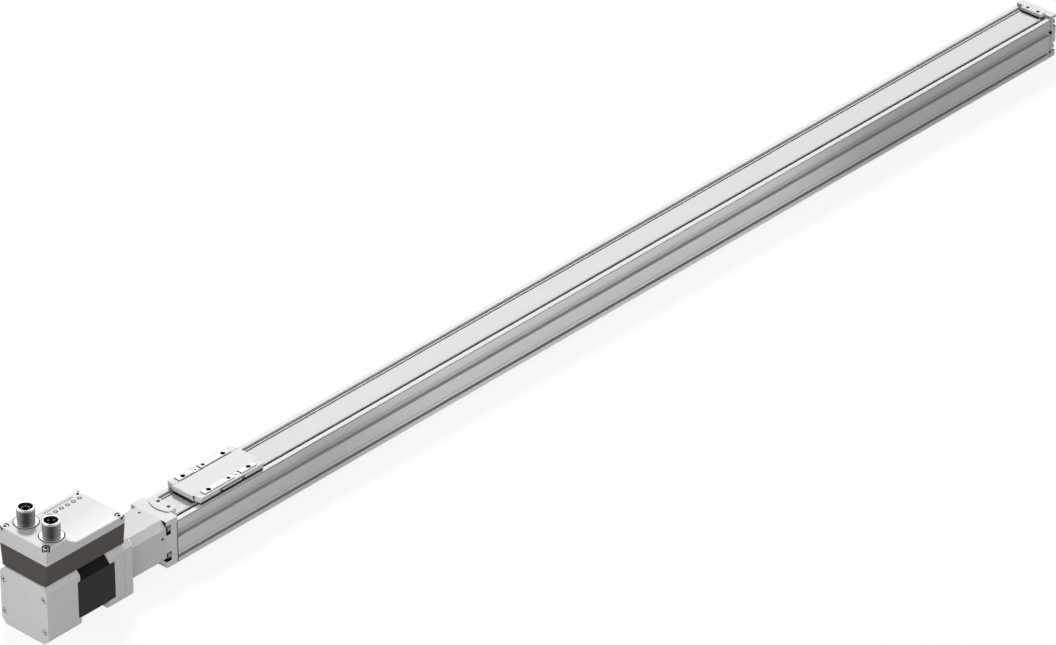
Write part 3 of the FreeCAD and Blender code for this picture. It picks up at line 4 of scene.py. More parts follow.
import bpy
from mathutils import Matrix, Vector

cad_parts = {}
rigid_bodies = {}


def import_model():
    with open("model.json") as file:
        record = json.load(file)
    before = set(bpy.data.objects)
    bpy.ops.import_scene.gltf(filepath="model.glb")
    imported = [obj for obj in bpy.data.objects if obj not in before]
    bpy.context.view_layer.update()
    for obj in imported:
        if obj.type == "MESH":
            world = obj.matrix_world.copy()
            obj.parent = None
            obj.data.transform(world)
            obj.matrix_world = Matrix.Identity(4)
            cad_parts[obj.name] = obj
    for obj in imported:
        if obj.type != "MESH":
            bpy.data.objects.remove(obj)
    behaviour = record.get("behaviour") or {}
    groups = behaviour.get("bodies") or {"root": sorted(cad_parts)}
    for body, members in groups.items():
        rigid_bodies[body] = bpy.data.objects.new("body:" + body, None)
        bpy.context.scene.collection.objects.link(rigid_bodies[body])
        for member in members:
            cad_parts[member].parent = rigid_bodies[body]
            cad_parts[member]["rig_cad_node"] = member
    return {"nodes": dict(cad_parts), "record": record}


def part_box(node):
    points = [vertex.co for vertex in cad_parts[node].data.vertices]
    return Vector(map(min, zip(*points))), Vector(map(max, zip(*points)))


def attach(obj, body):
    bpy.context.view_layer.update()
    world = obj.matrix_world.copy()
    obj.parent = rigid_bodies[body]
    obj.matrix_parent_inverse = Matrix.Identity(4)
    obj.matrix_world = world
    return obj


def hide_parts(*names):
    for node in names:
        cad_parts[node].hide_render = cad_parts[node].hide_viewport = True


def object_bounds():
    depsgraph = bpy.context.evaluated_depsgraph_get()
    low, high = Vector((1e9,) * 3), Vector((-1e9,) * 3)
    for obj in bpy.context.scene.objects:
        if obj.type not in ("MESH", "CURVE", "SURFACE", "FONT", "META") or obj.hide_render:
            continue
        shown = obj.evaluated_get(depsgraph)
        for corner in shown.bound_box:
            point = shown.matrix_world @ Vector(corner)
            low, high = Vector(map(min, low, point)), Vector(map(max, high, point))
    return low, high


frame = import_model()
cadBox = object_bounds()
nodes = frame["nodes"]
bodies = frame["record"]["behaviour"]["bodies"]
bodyOf = {node: body for body, members in bodies.items() for node in members}
mm = 0.001
sides = (-1, 1)
cheeks = ("left_cheek", "right_cheek")
spindleHeight = 19.4
print("frame loaded with", len(nodes), "CAD nodes")

# steps of detail in fine and in broad noise
fineDetail = 3
broadDetail = 2


def grey(shade):
    return (shade, shade, shade)


class Wire:
    # one shader socket, so that sums, products and comparisons read as plain Python
    def __init__(self, socket):
        self.socket = socket

    def node(self, kind, settings=None, values=None, output=0):
        tree = self.socket.id_data
        new = tree.nodes.new(kind)
        for name, value in (settings or {}).items():
            if name == "stops":  # a ramp's places, each with its grey
                marks = new.color_ramp.elements
                marks[0].position = value[0][0]
                marks[1].position = value[-1][0]
                for stop in value[1:-1]:
                    marks.new(stop[0])
                for mark, stop in zip(marks, value):
                    mark.color = (*grey(stop[1]), 1)
            else:
                setattr(new, name, value)
        for name, value in (values or {}).items():
            if isinstance(value, Wire):
                tree.links.new(value.socket, new.inputs[name])
            else:
                new.inputs[name].default_value = value
        return Wire(new.outputs[output])

    def maths(self, operation, first, second=0.0):
        return self.node("ShaderNodeMath", {"operation": operation}, {0: first, 1: second})

    def __add__(self, other):
        return self.maths("ADD", self, other)

    def __radd__(self, other):
        return self.maths("ADD", other, self)

    def __sub__(self, other):
        return self.maths("SUBTRACT", self, other)

    def __rsub__(self, other):
        return self.maths("SUBTRACT", other, self)

    def __mul__(self, other):
        return self.maths("MULTIPLY", self, other)

    def __rmul__(self, other):
        return self.maths("MULTIPLY", other, self)

    def __abs__(self):
        return self.maths("ABSOLUTE", self)

    def __lt__(self, limit):
        return self.maths("LESS_THAN", self, limit)

    def __gt__(self, limit):
        return self.maths("GREATER_THAN", self, limit)

    def axes(self):
        splitter = self.node("ShaderNodeSeparateXYZ", {}, {"Vector": self}).socket.node
        return [Wire(output) for output in splitter.outputs]

    def stretched(self, x, y, z):
        return self.node("ShaderNodeMapping", {}, {"Vector": self, "Scale": (x, y, z)})

    def grain(self, scale, detail):
        return self.node("ShaderNodeTexNoise", {}, {"Vector": self, "Scale": scale, "Detail": detail})

    def ramp(self, *stops):
        return self.node("ShaderNodeValToRGB", {"stops": stops}, {"Fac": self})

    def between(self, low, high):
        low, high = (end if isinstance(end, Wire) else (*end, 1) for end in (low, high))
        return self.node("ShaderNodeMix", {"data_type": "RGBA"}, {0: self, 6: low, 7: high}, 2)

    def blend(self, other, share):
        return self * share + other * (1 - share)

    def dimmed(self, where, shade):
        # where is a mask of 0 and 1, and shade the part of the light left under it
        return self * (1 - where * (1 - shade))

    def bump(self, depth):
        return self.node("ShaderNodeBump", {}, {"Height": self, "Distance": depth})


def newFinish(name):
    finish = bpy.data.materials.new(name)
    finish.use_nodes = True
    tree = finish.node_tree
    tree.nodes.clear()
    tree.nodes.new("ShaderNodeOutputMaterial")
    return finish, Wire(tree.nodes.new("ShaderNodeTexCoord").outputs["Object"])


def linkSurface(finish, shader):
    tree = finish.node_tree
    tree.links.new(shader.socket, tree.nodes["Material Output"].inputs["Surface"])


def principled(finish, place, values):
    linkSurface(finish, place.node("ShaderNodeBsdfPrincipled", {}, values))
    return finish


def surfaced(finish, place, look, shade, relief):
    # one fine relief gives both the bumps and the changes of roughness
    return principled(finish, place, {
        "Base Color": shade,
        "Metallic": look["metallic"],
        "Specular IOR Level": look["shine"],
        "Roughness": look["rough"] + relief * look["roughSpan"],
        "Normal": relief.bump(look["depth"])})


# painted shade: the light left in the profile's slots, on its scribed lines and under its lips, multiplied
# into the colour
grooveLook = {
    "halfWidth": 16 * mm, "slotTop": 27 * mm, "slotDepth": 4 * mm,
    "slotShade": ((0.0, 1.0), (0.14, 1.0), (0.38, 0.82), (0.46, 0.76), (0.78, 0.72), (1.0, 0.64)),
    "floors": ((18.3 * mm, 18.85 * mm), (2.2 * mm, 3.35 * mm)), "floorStart": 0.07, "floorShade": 0.66,
    "scribes": ((31.2 * mm, 0.05), (8 * mm, 0.42)), "scribeHalf": 0.19 * mm, "scribeFrom": 15 * mm,
    "lip": 12.9 * mm, "lipFoot": 24 * mm, "lipTop": 31.9 * mm, "lipShade": 0.85}


def grooveLight(place, look):
    across, up = place.axes()[1:]
    away = abs(across)
    depth = (look["halfWidth"] - away) * (1 / look["slotDepth"])
    light = 1 - (up < look["slotTop"]) * (1 - depth.ramp(*look["slotShade"]))
    for low, high in look["floors"]:
        isFloor = (up > low) * (up < high) * (depth > look["floorStart"])
        light = light.dimmed(isFloor, look["floorShade"])
    for height, shade in look["scribes"]:
        isScribe = (abs(up - height) < look["scribeHalf"]) * (away > look["scribeFrom"])
        light = light.dimmed(isScribe, shade)
    isLip = (away < look["lip"]) * (up > look["lipFoot"]) * (up < look["lipTop"])
    return light.dimmed(isLip, look["lipShade"])


# painted shade and shadow: the light left on the strip beside its folds and under the idle clamp,
# multiplied into the colour
foldLook = {
    "wall": 9.28 * mm, "wallHalf": 0.1 * mm, "wallFoot": 31.45 * mm, "wallTop": 32.03 * mm,
    "wallShade": 0.1,
    "line": 9.08 * mm, "lineHalf": 0.22 * mm, "lineShade": 0.6,
    "clampStart": 441.6 * mm, "clampShade": 0.04}


def foldLight(place, look):
    along, across, up = place.axes()
    away = abs(across)
    isWall = abs(away - look["wall"]) < look["wallHalf"]
    isWall = isWall * (up > look["wallFoot"]) * (up < look["wallTop"])
    light = 1 - isWall * (1 - look["wallShade"])
    light = light.dimmed(along > look["clampStart"], look["clampShade"])
    return light.dimmed(abs(away - look["line"]) < look["lineHalf"], look["lineShade"])


# metals with lines drawn along the axis: the profile and the strip
drawnLook = {"metallic": 0.0, "lineShare": 0.65, "patchRun": 0.4, "paintedShadeColour": grey(0.004)}
profileLook = {**drawnLook, "low": grey(0.74), "high": (0.845, 0.845, 0.84), "shine": 0.12, "rough": 0.42,
               "roughSpan": 0.16, "run": 5, "lines": 2400, "patches": 60, "depth": 0.00002}
stripLook = {**drawnLook, "low": (0.655, 0.655, 0.645), "high": (0.755, 0.755, 0.745), "shine": 0.15,
             "rough": 0.4, "roughSpan": 0.2, "run": 7, "lines": 5200, "patches": 90, "depth": 0.00001}


def drawnMetal(name, look, lightOf, places):
    finish, place = newFinish(name)
    lines = place.stretched(look["run"], look["lines"], look["lines"]).grain(1, fineDetail)
    patches = place.stretched(look["patchRun"], 1, 1).grain(look["patches"], broadDetail)
    shade = lines.blend(patches, look["lineShare"]).between(look["low"], look["high"])
    # painted shade: the colour falls toward the dark shade colour where lightOf leaves less light
    shade = lightOf(place, places).between(look["paintedShadeColour"], shade)
    return surfaced(finish, place, look, shade, lines)


# metals with an even fine grain: machined, cast and ground pieces
metalLook = {"grainShare": 0.5, "metallic": 0.0, "shine": 0.12, "depth": 0.00001}
machinedLook = {**metalLook, "low": grey(0.73), "high": grey(0.82), "rough": 0.44, "roughSpan": 0.16,
                "grain": 5200, "patches": 110}
# pad tops: a paler copy of the machined finish
padLook = {**machinedLook, "low": grey(0.90), "high": grey(0.97), "rough": 0.42, "roughSpan": 0.14}
castLook = {**metalLook, "low": grey(0.675), "high": grey(0.765), "rough": 0.48, "roughSpan": 0.2,
            "grain": 2600, "patches": 90, "depth": 0.00003}
# painted shade: a darker copy of the cast finish for the idle clamp's front
dimLook = {**castLook, "low": grey(0.47), "high": grey(0.55)}
screwLook = {**metalLook, "low": (0.62, 0.62, 0.63), "high": grey(0.82), "shine": 0.5, "metallic": 0.8,
             "rough": 0.22, "roughSpan": 0.16, "grain": 6000, "patches": 500, "depth": 0.000005}
headLook = {**screwLook, "low": grey(0.24), "high": grey(0.42), "shine": 0.3, "metallic": 0.3,
            "rough": 0.38, "roughSpan": 0.14, "grain": 5000}
groundLook = {**metalLook, "low": (0.46, 0.46, 0.47), "high": grey(0.62), "shine": 0.5, "metallic": 0.95,
              "rough": 0.16, "roughSpan": 0.14, "grain": 3000, "patches": 200, "depth": 0.000004}
# painted shade: the pins are coloured very dark, as they sit deep in the connectors' mouths
contactLook = {**groundLook, "low": (0.040, 0.034, 0.022), "high": (0.075, 0.062, 0.040),
               "rough": 0.3, "roughSpan": 0.1, "grain": 5000, "patches": 700, "depth": 0.000003}

# moulded, painted and rubber pieces
skinLook = {"grainShare": 0.4, "metallic": 0.0, "roughSpan": 0.2, "depth": 0.00001}
lidLook = {**skinLook, "low": (0.735, 0.735, 0.73), "high": (0.805, 0.805, 0.80), "rough": 0.42,
           "roughSpan": 0.12, "shine": 0.06, "grain": 2600, "patches": 50}
# painted shade: a darker copy of the lid's grey for its side walls
sideWallLook = {**lidLook, "low": (0.655, 0.655, 0.65), "high": (0.725, 0.725, 0.72)}
# painted highlight: a paler copy of the lid's grey for its deck, paler still toward one edge
deckLook = {**lidLook, "low": (0.76, 0.76, 0.755), "high": (0.82, 0.82, 0.815), "paintedHighlight": grey(0.91),
            "from": 4 * mm, "to": -19 * mm}
brownLook = {**skinLook, "low": (0.044, 0.038, 0.034), "high": (0.070, 0.062, 0.056), "rough": 0.46,
             "shine": 0.3, "grain": 3600, "patches": 80, "depth": 0.00002}
keyLook = {**skinLook, "low": grey(0.26), "high": grey(0.36), "rough": 0.4, "roughSpan": 0.1,
           "shine": 0.4, "grain": 4000, "patches": 400}
# painted shade: near-black for recesses, sockets, undercuts and other faces in shade
paintedShadeLook = {**skinLook, "low": grey(0.006), "high": grey(0.014), "rough": 0.7, "shine": 0.1,
              "grain": 3000, "patches": 300}
# dark seams and painted shade: mid-grey for the seam at the motor's front bell and for walls in shade
seamAndShadeLook = {**skinLook, "low": grey(0.30), "high": grey(0.36), "rough": 0.6, "shine": 0.2,
            "grain": 4000, "patches": 400}
# painted shade: near-black for the gap round each set key
gapLook = {**seamAndShadeLook, "low": grey(0.02), "high": grey(0.045)}
# black for the connector inserts, and painted shade on small screws and in the connector mouths
insertAndShadeLook = {**skinLook, "low": grey(0.010), "high": grey(0.022), "rough": 0.45, "shine": 0.3,
              "grain": 4000, "patches": 300}
rubberLook = {**skinLook, "low": grey(0.008), "high": grey(0.020), "rough": 0.62, "shine": 0.2,
              "grain": 5000, "patches": 300, "depth": 0.00002}


def grained(name, look):
    finish, place = newFinish(name)
    grain = place.grain(look["grain"], fineDetail)
    patches = place.grain(look["patches"], broadDetail)
    shade = grain.blend(patches, look["grainShare"]).between(look["low"], look["high"])
    # painted highlight: the colour grows paler across the axis
    if "paintedHighlight" in look:  # the skin grows paler across the axis
        across = place.axes()[1]
        reach = {"Value": across, "From Min": look["from"], "From Max": look["to"]}
        shade = place.node("ShaderNodeMapRange", {}, reach).between(shade, look["paintedHighlight"])
    return surfaced(finish, place, look, shade, grain)


# connector shells: painted reflections as bright and dark bands up the round, with fine streaks
shellPlace = {"middle": -552.4 * mm, "apart": 11.5 * mm, "bands": 3, "turn": 43.5, "bandShare": 0.8,
              "streaks": 1800, "streakRun": 0.04, "metallic": 0.5, "shine": 0.5, "roughSpan": 0.14,
              "depth": 0.000004}
platedLook = {**shellPlace, "low": grey(0.025), "high": (0.33, 0.33, 0.325), "rough": 0.3}
rimLook = {**shellPlace, "low": grey(0.20), "high": grey(0.95), "rough": 0.22}


def reflectionBandedMetal(name, look):
    finish, place = newFinish(name)
    x, y = place.axes()[:2]
    angle = place.maths("ARCTAN2", y - place.maths("SIGN", y) * look["apart"], x - look["middle"])
    band = 0.5 - place.maths("COSINE", angle * look["bands"] + math.radians(look["turn"])) * 0.5
    streaks = place.stretched(1, 1, look["streakRun"]).grain(look["streaks"], fineDetail)
    shade = band.blend(streaks, look["bandShare"]).between(look["low"], look["high"])
    return surfaced(finish, place, look, shade, streaks)


# stator stack: thin sheets across the axis under black paint
stackLook = {"low": grey(0.013), "high": grey(0.028), "sheets": 1000, "waver": 0.2, "grain": 1800,
             "grainShare": 0.7, "rough": 0.5, "roughSpan": 0.2, "shine": 0.15, "sheetRelief": 0.6,
             "depth": 0.00002}


def stackPaint(name, look):
    finish, place = newFinish(name)
    sheets = place.node("ShaderNodeTexWave", {"wave_type": "BANDS", "bands_direction": "X"},
                        {"Vector": place, "Scale": look["sheets"], "Distortion": look["waver"]}, 1)
    grain = place.grain(look["grain"], fineDetail)
    return principled(finish, place, {
        "Base Color": grain.blend(sheets, look["grainShare"]).between(look["low"], look["high"]),
        "Roughness": look["rough"] + grain * look["roughSpan"],
        "Specular IOR Level": look["shine"],
        "Normal": sheets.blend(grain, look["sheetRelief"]).bump(look["depth"])})


# level window: a row of dark steps with thin paler gaps
windowLook = {"bar": grey(0.14), "gap": grey(0.44), "step": 1.3 * mm, "share": 0.7, "barShare": 0.9,
              "grain": 2500, "rough": 0.22, "roughSpan": 0.12, "depth": 0.00004}


def steppedWindow(name, look):
    finish, place = newFinish(name)
    along = place.axes()[0]
    bar = place.maths("FRACT", along * (1 / look["step"])) < look["share"]
    grain = place.grain(look["grain"], broadDetail)
    return principled(finish, place, {
        "Base Color": bar.blend(grain, look["barShare"]).between(look["gap"], look["bar"]),
        "Roughness": look["rough"] + grain * look["roughSpan"],
        "Normal": bar.bump(look["depth"])})


# ball screw: a ground helix worked out from the angle round the axis, its groove painted darker as shade
screwThreadLook = {
    "low": (0.40, 0.40, 0.41), "high": grey(0.62), "lead": 8 * mm, "axis": spindleHeight * mm,
    "groove": ((0.0, 1.0), (0.28, 1.0), (0.42, 0.1), (0.58, 0.0), (0.72, 1.0), (1.0, 1.0)),
    "grooveShare": 0.8, "grain": 2500, "metallic": 0.95, "rough": 0.16, "roughSpan": 0.12, "depth": 0.0006}


def rolledThread(name, look):
    finish, place = newFinish(name)
    x, y, z = place.axes()
    angle = place.maths("ARCTAN2", y, z - look["axis"])
    turn = place.maths("FRACT", x * (1 / look["lead"]) - angle * (1 / math.tau))
    groove = turn.ramp(*look["groove"])
    grain = place.grain(look["grain"], broadDetail)
    return principled(finish, place, {
        "Base Color": groove.blend(grain, look["grooveShare"]).between(look["low"], look["high"]),
        "Metallic": look["metallic"],
        "Roughness": look["rough"] + grain * look["roughSpan"],
        "Normal": groove.bump(look["depth"])})


# windings: enamelled wire in close rows, painted darker between the rows as shade
wireLook = {"low": (0.30, 0.10, 0.035), "high": (0.62, 0.27, 0.12), "axis": spindleHeight * mm,
            "rows": 700, "waver": 1.5, "detail": 1.0, "metallic": 0.6, "rough": 0.3, "roughSpan": 0.15,
            "depth": 0.0002}


def woundWire(name, look):
    finish, place = newFinish(name)
    middle = place.node("ShaderNodeMapping", {}, {"Vector": place, "Location": (0, 0, -look["axis"])})
    rows = place.node("ShaderNodeTexWave", {"wave_type": "RINGS", "rings_direction": "X"},
                      {"Vector": middle, "Scale": look["rows"], "Distortion": look["waver"],
                       "Detail": look["detail"]}, 1)
    return principled(finish, place, {
        "Base Color": rows.between(look["low"], look["high"]),
        "Metallic": look["metallic"],
        "Roughness": look["rough"] + rows * look["roughSpan"],
        "Normal": rows.bump(look["depth"])})


# boards: green lacquer over copper tracks
boardLook = {"low": (0.010, 0.060, 0.022), "high": (0.030, 0.150, 0.060), "tracks": 420, "offset": 0.37,
             "squash": 0.6, "line": 0.05, "trackShare": 0.7, "grain": 900, "rough": 0.28, "roughSpan": 0.2,
             "depth": 0.00004}


def lacqueredBoard(name, look):
    finish, place = newFinish(name)
    tracks = place.node("ShaderNodeTexBrick", {"offset": look["offset"], "squash": look["squash"]},
                        {"Vector": place, "Scale": look["tracks"], "Mortar Size": look["line"]}, 1)
    grain = place.grain(look["grain"], broadDetail)
    return principled(finish, place, {
        "Base Color": tracks.blend(grain, look["trackShare"]).between(look["high"], look["low"]),
        "Roughness": look["rough"] + grain * look["roughSpan"],
        "Normal": tracks.bump(look["depth"])})


finishes = {
    "profile": drawnMetal("profileAluminium", profileLook, grooveLight, grooveLook),
    "strip": drawnMetal("coverStripSteel", stripLook, foldLight, foldLook),
    "machined": grained("machinedAluminium", machinedLook),
    "pad": grained("palerPad", padLook),
    "cast": grained("castAluminium", castLook),
    "dim": grained("shadedMetal", dimLook),
    "screw": grained("screwSteel", screwLook),
    "head": grained("screwHead", headLook),
    "plated": reflectionBandedMetal("platedShellReflections", platedLook),
    "rim": reflectionBandedMetal("rimReflections", rimLook),
    "ground": grained("groundSteel", groundLook),
    "contact": grained("contactMetal", contactLook),
    "lid": grained("lidGrey", lidLook),
    "sideWall": grained("lidSideShade", sideWallLook),
    "deck": grained("lidDeckHighlight", deckLook),
    "brown": grained("baseBrown", brownLook),
    "key": grained("keyGrey", keyLook),
    "seamAndShade": grained("seamAndWallShade", seamAndShadeLook),
    "gap": grained("paintedGapShade", gapLook),
    "insertAndShade": grained("insertBlackAndShade", insertAndShadeLook),
    "rubber": grained("blackRubber", rubberLook),
    "paintedShade": grained("paintedRecessShade", paintedShadeLook),
    "stack": stackPaint("statorPaint", stackLook),
    "window": steppedWindow("levelWindow", windowLook),
    "thread": rolledThread("screwThread", screwThreadLook),
    "wire": woundWire("windingWire", wireLook),
    "board": lacqueredBoard("boardGreen", boardLook),
}
print("finishes made:", len(finishes))


def dress(piece, *names):
    piece.data.materials.clear()
    for name in names:
        piece.data.materials.append(finishes[name])


# CAD nodes whose shape is right as it is, with their finishes
plainNodes = {
    "ground": ["guide_rail", "drive_bearing_outer_ring", "idle_bearing_outer_ring",
               "motor_bearing_outer_rings", "drive_bearing_inner_ring", "idle_bearing_inner_ring",
               "motor_bearing_inner_rings", "motor_shaft", "spindle_lock_nut", "guide_block", "ball_nut",
               "encoder_magnet", "rotor_core"],
    "screw": ["nut_screws"],
    "machined": ["slide_bracket", "spindle_coupling_hub", "motor_coupling_hub"],
    "rubber": ["end_buffers", "coupling_spider", "carriage_wipers"],
    "insertAndShade": ["connector_inserts"],
    "contact": ["connector_pins"],
    "wire": ["stator_windings"],
    "board": ["encoder_board", "control_board"],
    "thread": ["ball_screw"],
    "window": ["level_window"],
}
for finish, names in plainNodes.items():
    for name in names:
        dress(nodes[name], finish)
print("plain nodes dressed:", sum(len(names) for names in plainNodes.values()))


def deselect():
    if bpy.context.object and bpy.context.object.mode != "OBJECT":
        bpy.ops.object.mode_set(mode="OBJECT")
    bpy.ops.object.select_all(action="DESELECT")


def pick(piece):
    deselect()
    piece.select_set(True)
    bpy.context.view_layer.objects.active = piece


def smoothTo(degrees):
    bpy.ops.object.shade_smooth_by_angle(angle=math.radians(degrees))


# pieces of the CAD whose edges are broken: the width of the break in mm, the finish and the slot
brokenEdges = {
    "profile": (0.12, "profile", "anodised_aluminium"),
    "drive_end_cap": (0.22, "machined", "machined_aluminium"),
    "idle_end_cap": (0.22, "machined", "machined_aluminium"),
    "drive_strip_clamp": (0.16, "machined", "machined_aluminium"),
    "idle_strip_clamp": (0.16, "machined", "machined_aluminium"),
    "coupling_housing": (0.2, "cast", "machined_aluminium"),
    "motor_front_bell": (0.25, "cast", "cast_aluminium"),
    "motor_rear_bell": (0.25, "cast", "cast_aluminium"),
    "stator_core": (0.2, "stack", "stator_black"),
    "electronics_base": (0.2, "brown", "base_brown"),
    "electronics_lid": (0.09, "lid", "lid_grey"),
    "left_cheek": (0.16, "machined", "machined_aluminium"),
    "right_cheek": (0.16, "machined", "machined_aluminium"),
    "centre_cover": (0.25, "machined", "machined_aluminium"),
    "side_plates": (0.26, "machined", "machined_aluminium"),
    "end_cap_screws": (0.12, "head", "screw_steel"),
    # painted shade: these small steel screws take the black finish all over, for the dark dots they show
    "strip_clamp_screws": (0.1, "insertAndShade", "screw_steel"),
    "lid_screws": (0.12, "head", "screw_steel"),
    "motor_bolts": (0.15, "screw", "screw_steel"),
    "motor_rear_screws": (0.12, "cast", "screw_steel"),
    "cheek_screws": (0.2, "screw", "screw_steel"),
    # painted shade: these small steel screws take the black finish all over, for the dark dots they show
    "side_plate_screws": (0.06, "insertAndShade", "screw_steel"),
    "housing_grub_screws": (0.06, "insertAndShade", "screw_steel"),
}

# pieces with edges so close that the break narrows itself there
clampedPieces = {"coupling_housing"}
edgeLook = {"weld": 0.002 * mm, "flat": 0.6, "segments": 2, "sharp": 35, "smooth": 50}


def cleanCopy(name):
    pick(nodes[name])
    bpy.ops.object.duplicate()
    piece = bpy.context.object
    piece.name = name + ".dressed"
    piece.data.name = piece.name
    del piece["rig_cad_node"]
    bpy.ops.object.mode_set(mode="EDIT")
    bpy.ops.mesh.select_all(action="SELECT")
    bpy.ops.mesh.remove_doubles(threshold=edgeLook["weld"])
    bpy.ops.mesh.dissolve_limited(angle_limit=math.radians(edgeLook["flat"]))
    bpy.ops.object.mode_set(mode="OBJECT")
    return piece


def flatten(piece):
    # broad faces stay flat and the broken edges round
    pick(piece)
    smoothTo(edgeLook["smooth"])
    flat = piece.modifiers.new("flatFaces", "WEIGHTED_NORMAL")
    flat.keep_sharp = True
    bpy.ops.object.modifier_apply(modifier="flatFaces")


def wear(piece, name, finish):
    dress(piece, finish)
    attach(piece, bodyOf[name])
    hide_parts(name)


def breakEdges(name, width, finish, slot):
    piece = cleanCopy(name)
    bevel = piece.modifiers.new("brokenEdge", "BEVEL")
    bevel.width = width * mm
    bevel.segments = edgeLook["segments"]
    bevel.limit_method = "ANGLE"
    bevel.angle_limit = math.radians(edgeLook["sharp"])
    bevel.use_clamp_overlap = name in clampedPieces
    bevel.loop_slide = False
    bpy.ops.object.modifier_apply(modifier="brokenEdge")
    flatten(piece)
    wear(piece, name, finish)
    return piece


dressed = {name: breakEdges(name, *values) for name, values in brokenEdges.items()}
print("edges broken on", len(dressed), "pieces")


def slotOf(piece, finish):
    worn = piece.data.materials
    if finishes[finish].name not in worn:
        worn.append(finishes[finish])
    return worn.find(finishes[finish].name)


# faces are tested by their place in mm and their direction
def darken(piece, isDark, finish="paintedShade", over=None):
    slot = slotOf(piece, finish)
    under = None if over is None else slotOf(piece, over)
    for face in piece.data.polygons:
        if under in (None, face.material_index) and isDark(face.center / mm, face.normal):
            face.material_index = slot


def mirrored(*places):
    return [(x, y * side, z) for x, y, z in places for side in sides]


# painted shade: recesses coloured dark, by the middles in mm and the half size of a box round each
cheekHoles = (-413.6, -395.3, -377)
recesses = {
    "electronics_lid": [(mirrored((-564.2, 18.6, 68.8), (-500.4, 18.6, 62.3)), (2.95, 2.95, 1.15))],
    "drive_end_cap": [(mirrored((-454.6, 13.9, 8.1), (-454.6, 13.9, 28.3)), (2.2, 2.5, 3.5)),
                      (mirrored((-446.3, 15.8, 18)), (0.38, 0.6, 17.3))],
    "idle_end_cap": [(mirrored((450.9, 13.9, 8.1), (450.9, 13.9, 28.3)), (1.7, 2.5, 3.5))],
    "drive_strip_clamp": [(mirrored((-443, 4.7, 34.7)), (1.5, 1.5, 1.3))],
    "idle_strip_clamp": [(mirrored((445.2, 4.7, 33.4)), (1.5, 1.5, 1.3))],
    "left_cheek": [([(x, 11.7, 36) for x in cheekHoles], (1.8, 1.8, 2.25)),
                   ([(-402.2, 11.6, 36.6)], (2.4, 2.4, 1.04))],
    "right_cheek": [([(x, -11.7, 36) for x in cheekHoles], (1.8, 1.8, 2.25)),
                    ([(-388.4, -11.6, 36.6)], (2.4, 2.4, 1.04))],
}


def inBoxes(boxes):
    def test(at, to):
        return any(all(abs(at[axis] - middle[axis]) < half[axis] for axis in range(3))
                   for middles, half in boxes for middle in middles)
    return test


for name, boxes in recesses.items():
    darken(dressed[name], inBoxes(boxes))
print("recesses darkened on", len(recesses), "pieces")


# the part of a face's direction along an axis: it looks that way, half that way, leans that way
facing = 0.9
halfway = 0.5
leaning = 0.2
slanted = {"least": 0.05, "most": 0.95}
axisOf = {"x": Vector((1, 0, 0)), "y": Vector((0, 1, 0)), "z": Vector((0, 0, 1))}


def isSlanted(part):
    return slanted["least"] < part < slanted["most"]


def splitFaces(piece, isFace, axis, place):
    pick(piece)
    bpy.ops.object.mode_set(mode="EDIT")
    bpy.ops.mesh.select_mode(type="FACE")
    bpy.ops.mesh.select_all(action="DESELECT")
    bpy.ops.object.mode_set(mode="OBJECT")
    for face in piece.data.polygons:
        face.select = isFace(face.center / mm, face.normal)
    bpy.ops.object.mode_set(mode="EDIT")
    bpy.ops.mesh.bisect(plane_co=axisOf[axis] * place * mm, plane_no=axisOf[axis])
    bpy.ops.mesh.select_mode(type="VERT")
    bpy.ops.object.mode_set(mode="OBJECT")


# the corner of the drive cap behind the housing's chamfer is split off, so that it can take painted shade
cornerLook = {"face": -456.8, "slack": 0.1, "inner": 11.4, "foot": 31.6}


def isRearFace(at, to):
    return to.x < -facing and abs(at.x - cornerLook["face"]) < cornerLook["slack"]


splitFaces(dressed["drive_end_cap"], isRearFace, "y", -cornerLook["inner"])
splitFaces(dressed["drive_end_cap"], isRearFace, "z", cornerLook["foot"])

# the joint of the drive cap and the profile, below the lip, split off to take painted shade
jointLook = {"side": 15.9, "start": -447.1, "top": 31.0}


def isCapSide(at, to):
    return abs(to.y) > facing and abs(at.y) > jointLook["side"]


def isJointSide(at, to):
    return isCapSide(at, to) and at.x > jointLook["start"]


splitFaces(dressed["drive_end_cap"], isCapSide, "x", jointLook["start"])
splitFaces(dressed["drive_end_cap"], isJointSide, "z", jointLook["top"])

# the front of the idle cap beside its clamp, over the lips, split off to take painted shade
idleFront = {"low": 445.8, "high": 446.2, "lip": 32.1, "clamp": 9.6}


def isIdleFront(at, to):
    return to.x < -facing and idleFront["low"] < at.x < idleFront["high"]


splitFaces(dressed["idle_end_cap"], isIdleFront, "z", idleFront["lip"])
for side in sides:
    splitFaces(dressed["idle_end_cap"], isIdleFront, "y", idleFront["clamp"] * side)

# the gap beside the cover's left edge, along the pads: a band of the cover's top split off to take painted
# shade
gapEdge = {"side": 8.75, "start": -419, "end": -371.5, "foot": 37.6}


def isCoverTop(at, to):
    return to.z > facing and at.z > gapEdge["foot"]


def isCoverEdge(at, to):
    return isCoverTop(at, to) and at.y > gapEdge["side"]


splitFaces(dressed["centre_cover"], isCoverTop, "y", gapEdge["side"])
for end in ("start", "end"):
    splitFaces(dressed["centre_cover"], isCoverEdge, "x", gapEdge[end])

# the step where the cover stands out before the right cheek, split off to take painted shade
stepEdge = -424.5
splitFaces(dressed["centre_cover"], lambda at, to: to.y < -facing, "x", stepEdge)

# the cover's ends lean in toward the strip
leanLook = {"foot": 33.6, "front": -425.3, "rear": -365.3, "reach": 1.0}


